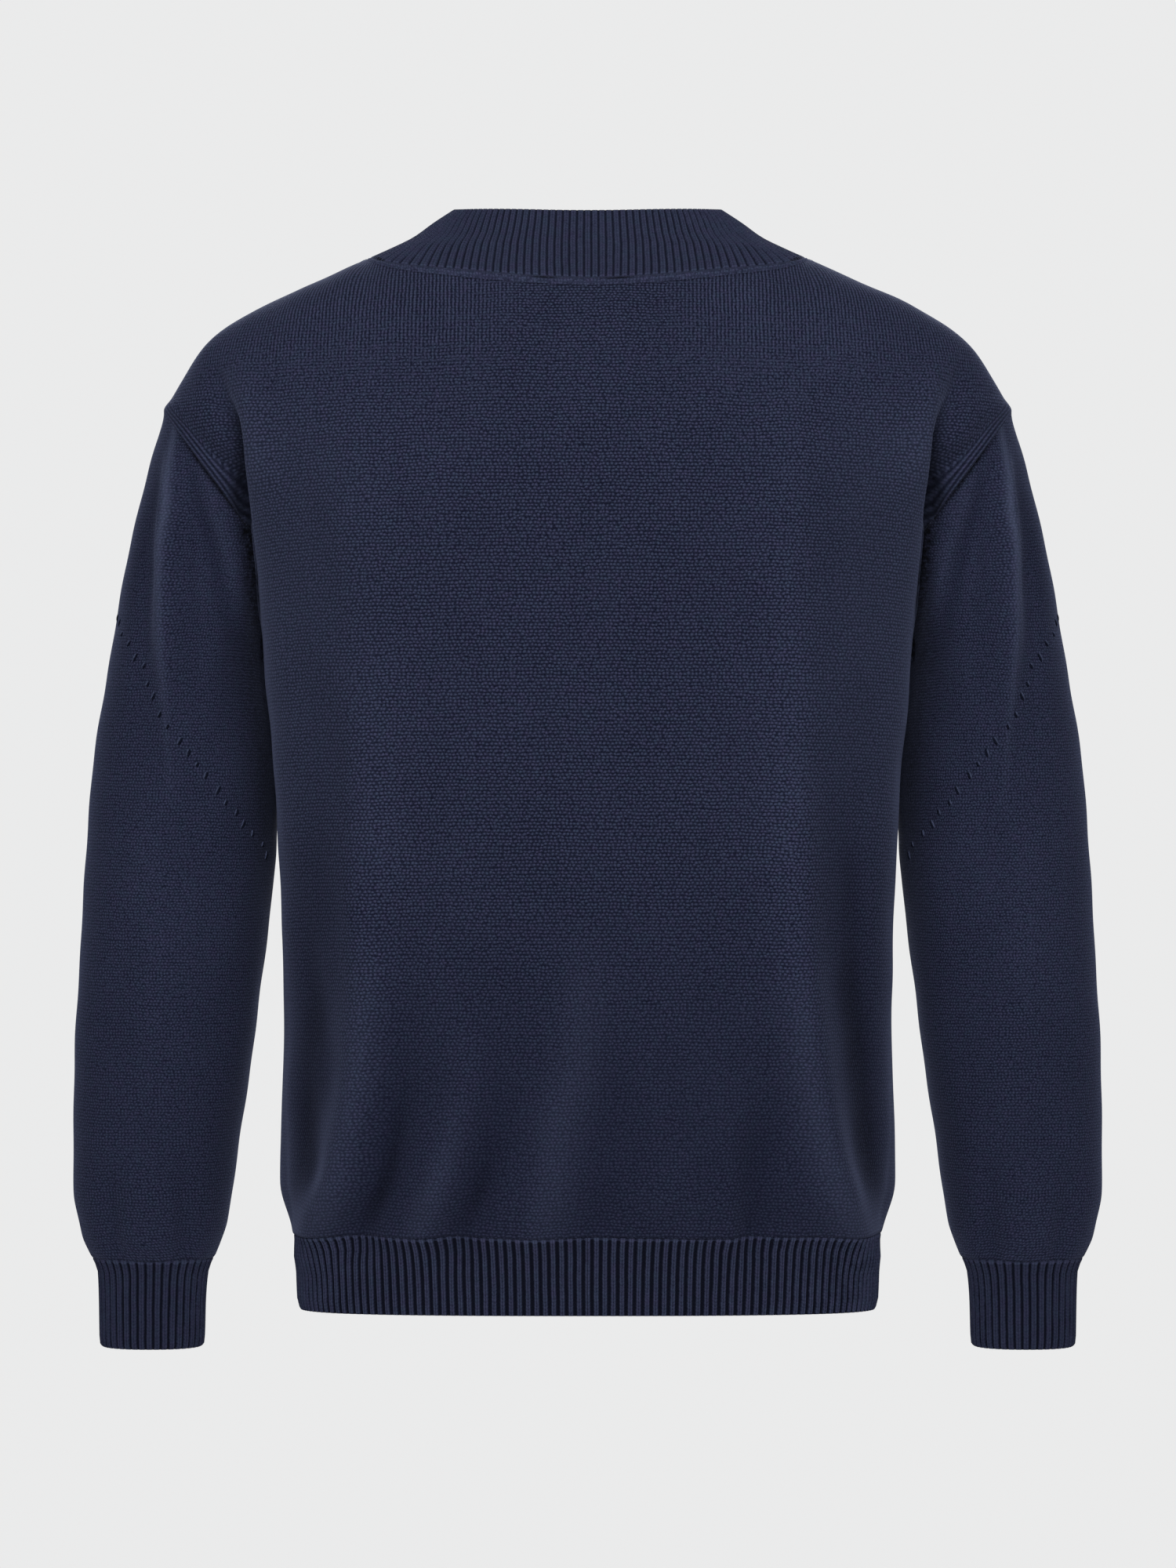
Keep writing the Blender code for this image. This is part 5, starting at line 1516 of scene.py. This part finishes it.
# camera, lights and floor
studio = {
    "camera": (0.0002, -3.5, -0.3384), "lens": 36 * 3.5 / 1.01,
    "floor": -1.15, "floorRadius": 1.2, "middle": (0.0, 0.0, -0.30),
    "background": (colour(0.995, 0.998, 1.0), 0.83), "ambient": (colour(0.97, 0.985, 1.0), 0.08),
    "lights": (
        ("front", (0.0, -3.9, 1.1), (2.2, 1.4), 165), ("overhead", (0.0, -0.9, 2.2), (2.4, 1.6), 6),
        ("sideLeft", (-2.8, -0.6, 0.2), (1.0, 2.0), 7), ("sideRight", (2.8, -0.6, 0.2), (1.0, 2.0), 7),
        ("behind", (0.0, 2.8, 0.9), (2.4, 1.6), 90),
    ),
}


def makeCamera():
    data = bpy.data.cameras.new("camera")
    data.lens, data.sensor_width = studio["lens"], 36
    camera = bpy.data.objects.new("camera", data)
    camera.location, camera.rotation_euler = studio["camera"], (math.radians(90), 0, 0)
    bpy.context.scene.collection.objects.link(camera)
    bpy.context.scene.camera = camera


def areaLight(name, place, size, power):
    data = bpy.data.lights.new(name, "AREA")
    data.shape, data.size, data.size_y, data.energy = "RECTANGLE", size[0], size[1], power
    light = bpy.data.objects.new(name, data)
    light.location, way = place, np.array(studio["middle"]) - np.array(place)
    flat = math.hypot(way[0], way[1])
    light.rotation_euler = (math.atan2(flat, -way[2]), 0, math.atan2(-way[0], way[1]))
    bpy.context.scene.collection.objects.link(light)


def makeStudio():
    bpy.context.scene.view_settings.view_transform = "Standard"
    world = bpy.data.worlds.new("studio")
    world.use_nodes = True
    tree = world.node_tree
    tree.nodes.clear()
    kinds = ("LightPath", "MixShader", "OutputWorld", "Background", "Background")
    path, mix, out, lit, seen = (tree.nodes.new("ShaderNode" + kind) for kind in kinds)
    tree.links.new(path.outputs["Is Camera Ray"], mix.inputs["Fac"])
    for socket, shade, name in ((1, lit, "ambient"), (2, seen, "background")):
        shade.inputs["Color"].default_value, shade.inputs["Strength"].default_value = studio[name]
        tree.links.new(shade.outputs[0], mix.inputs[socket])
    tree.links.new(mix.outputs[0], out.inputs["Surface"])
    bpy.context.scene.world = world

    for light in studio["lights"]:
        areaLight(*light)

    floor = newShape("studioFloor", bpy.ops.mesh.primitive_cylinder_add, vertices=96,
                     radius=studio["floorRadius"], depth=0.02, location=(0, 0, studio["floor"] - 0.01))
    paper = Finish("palePaper", 0.9)
    flecks = paper.noise(paper.place(), 60.0, 3.0)
    floor.data.materials.append(
        paper.paint(paper.blend(flecks, colour(0.80, 0.80, 0.81), colour(0.84, 0.84, 0.85))))


makeCamera()
makeStudio()
print("studio made")
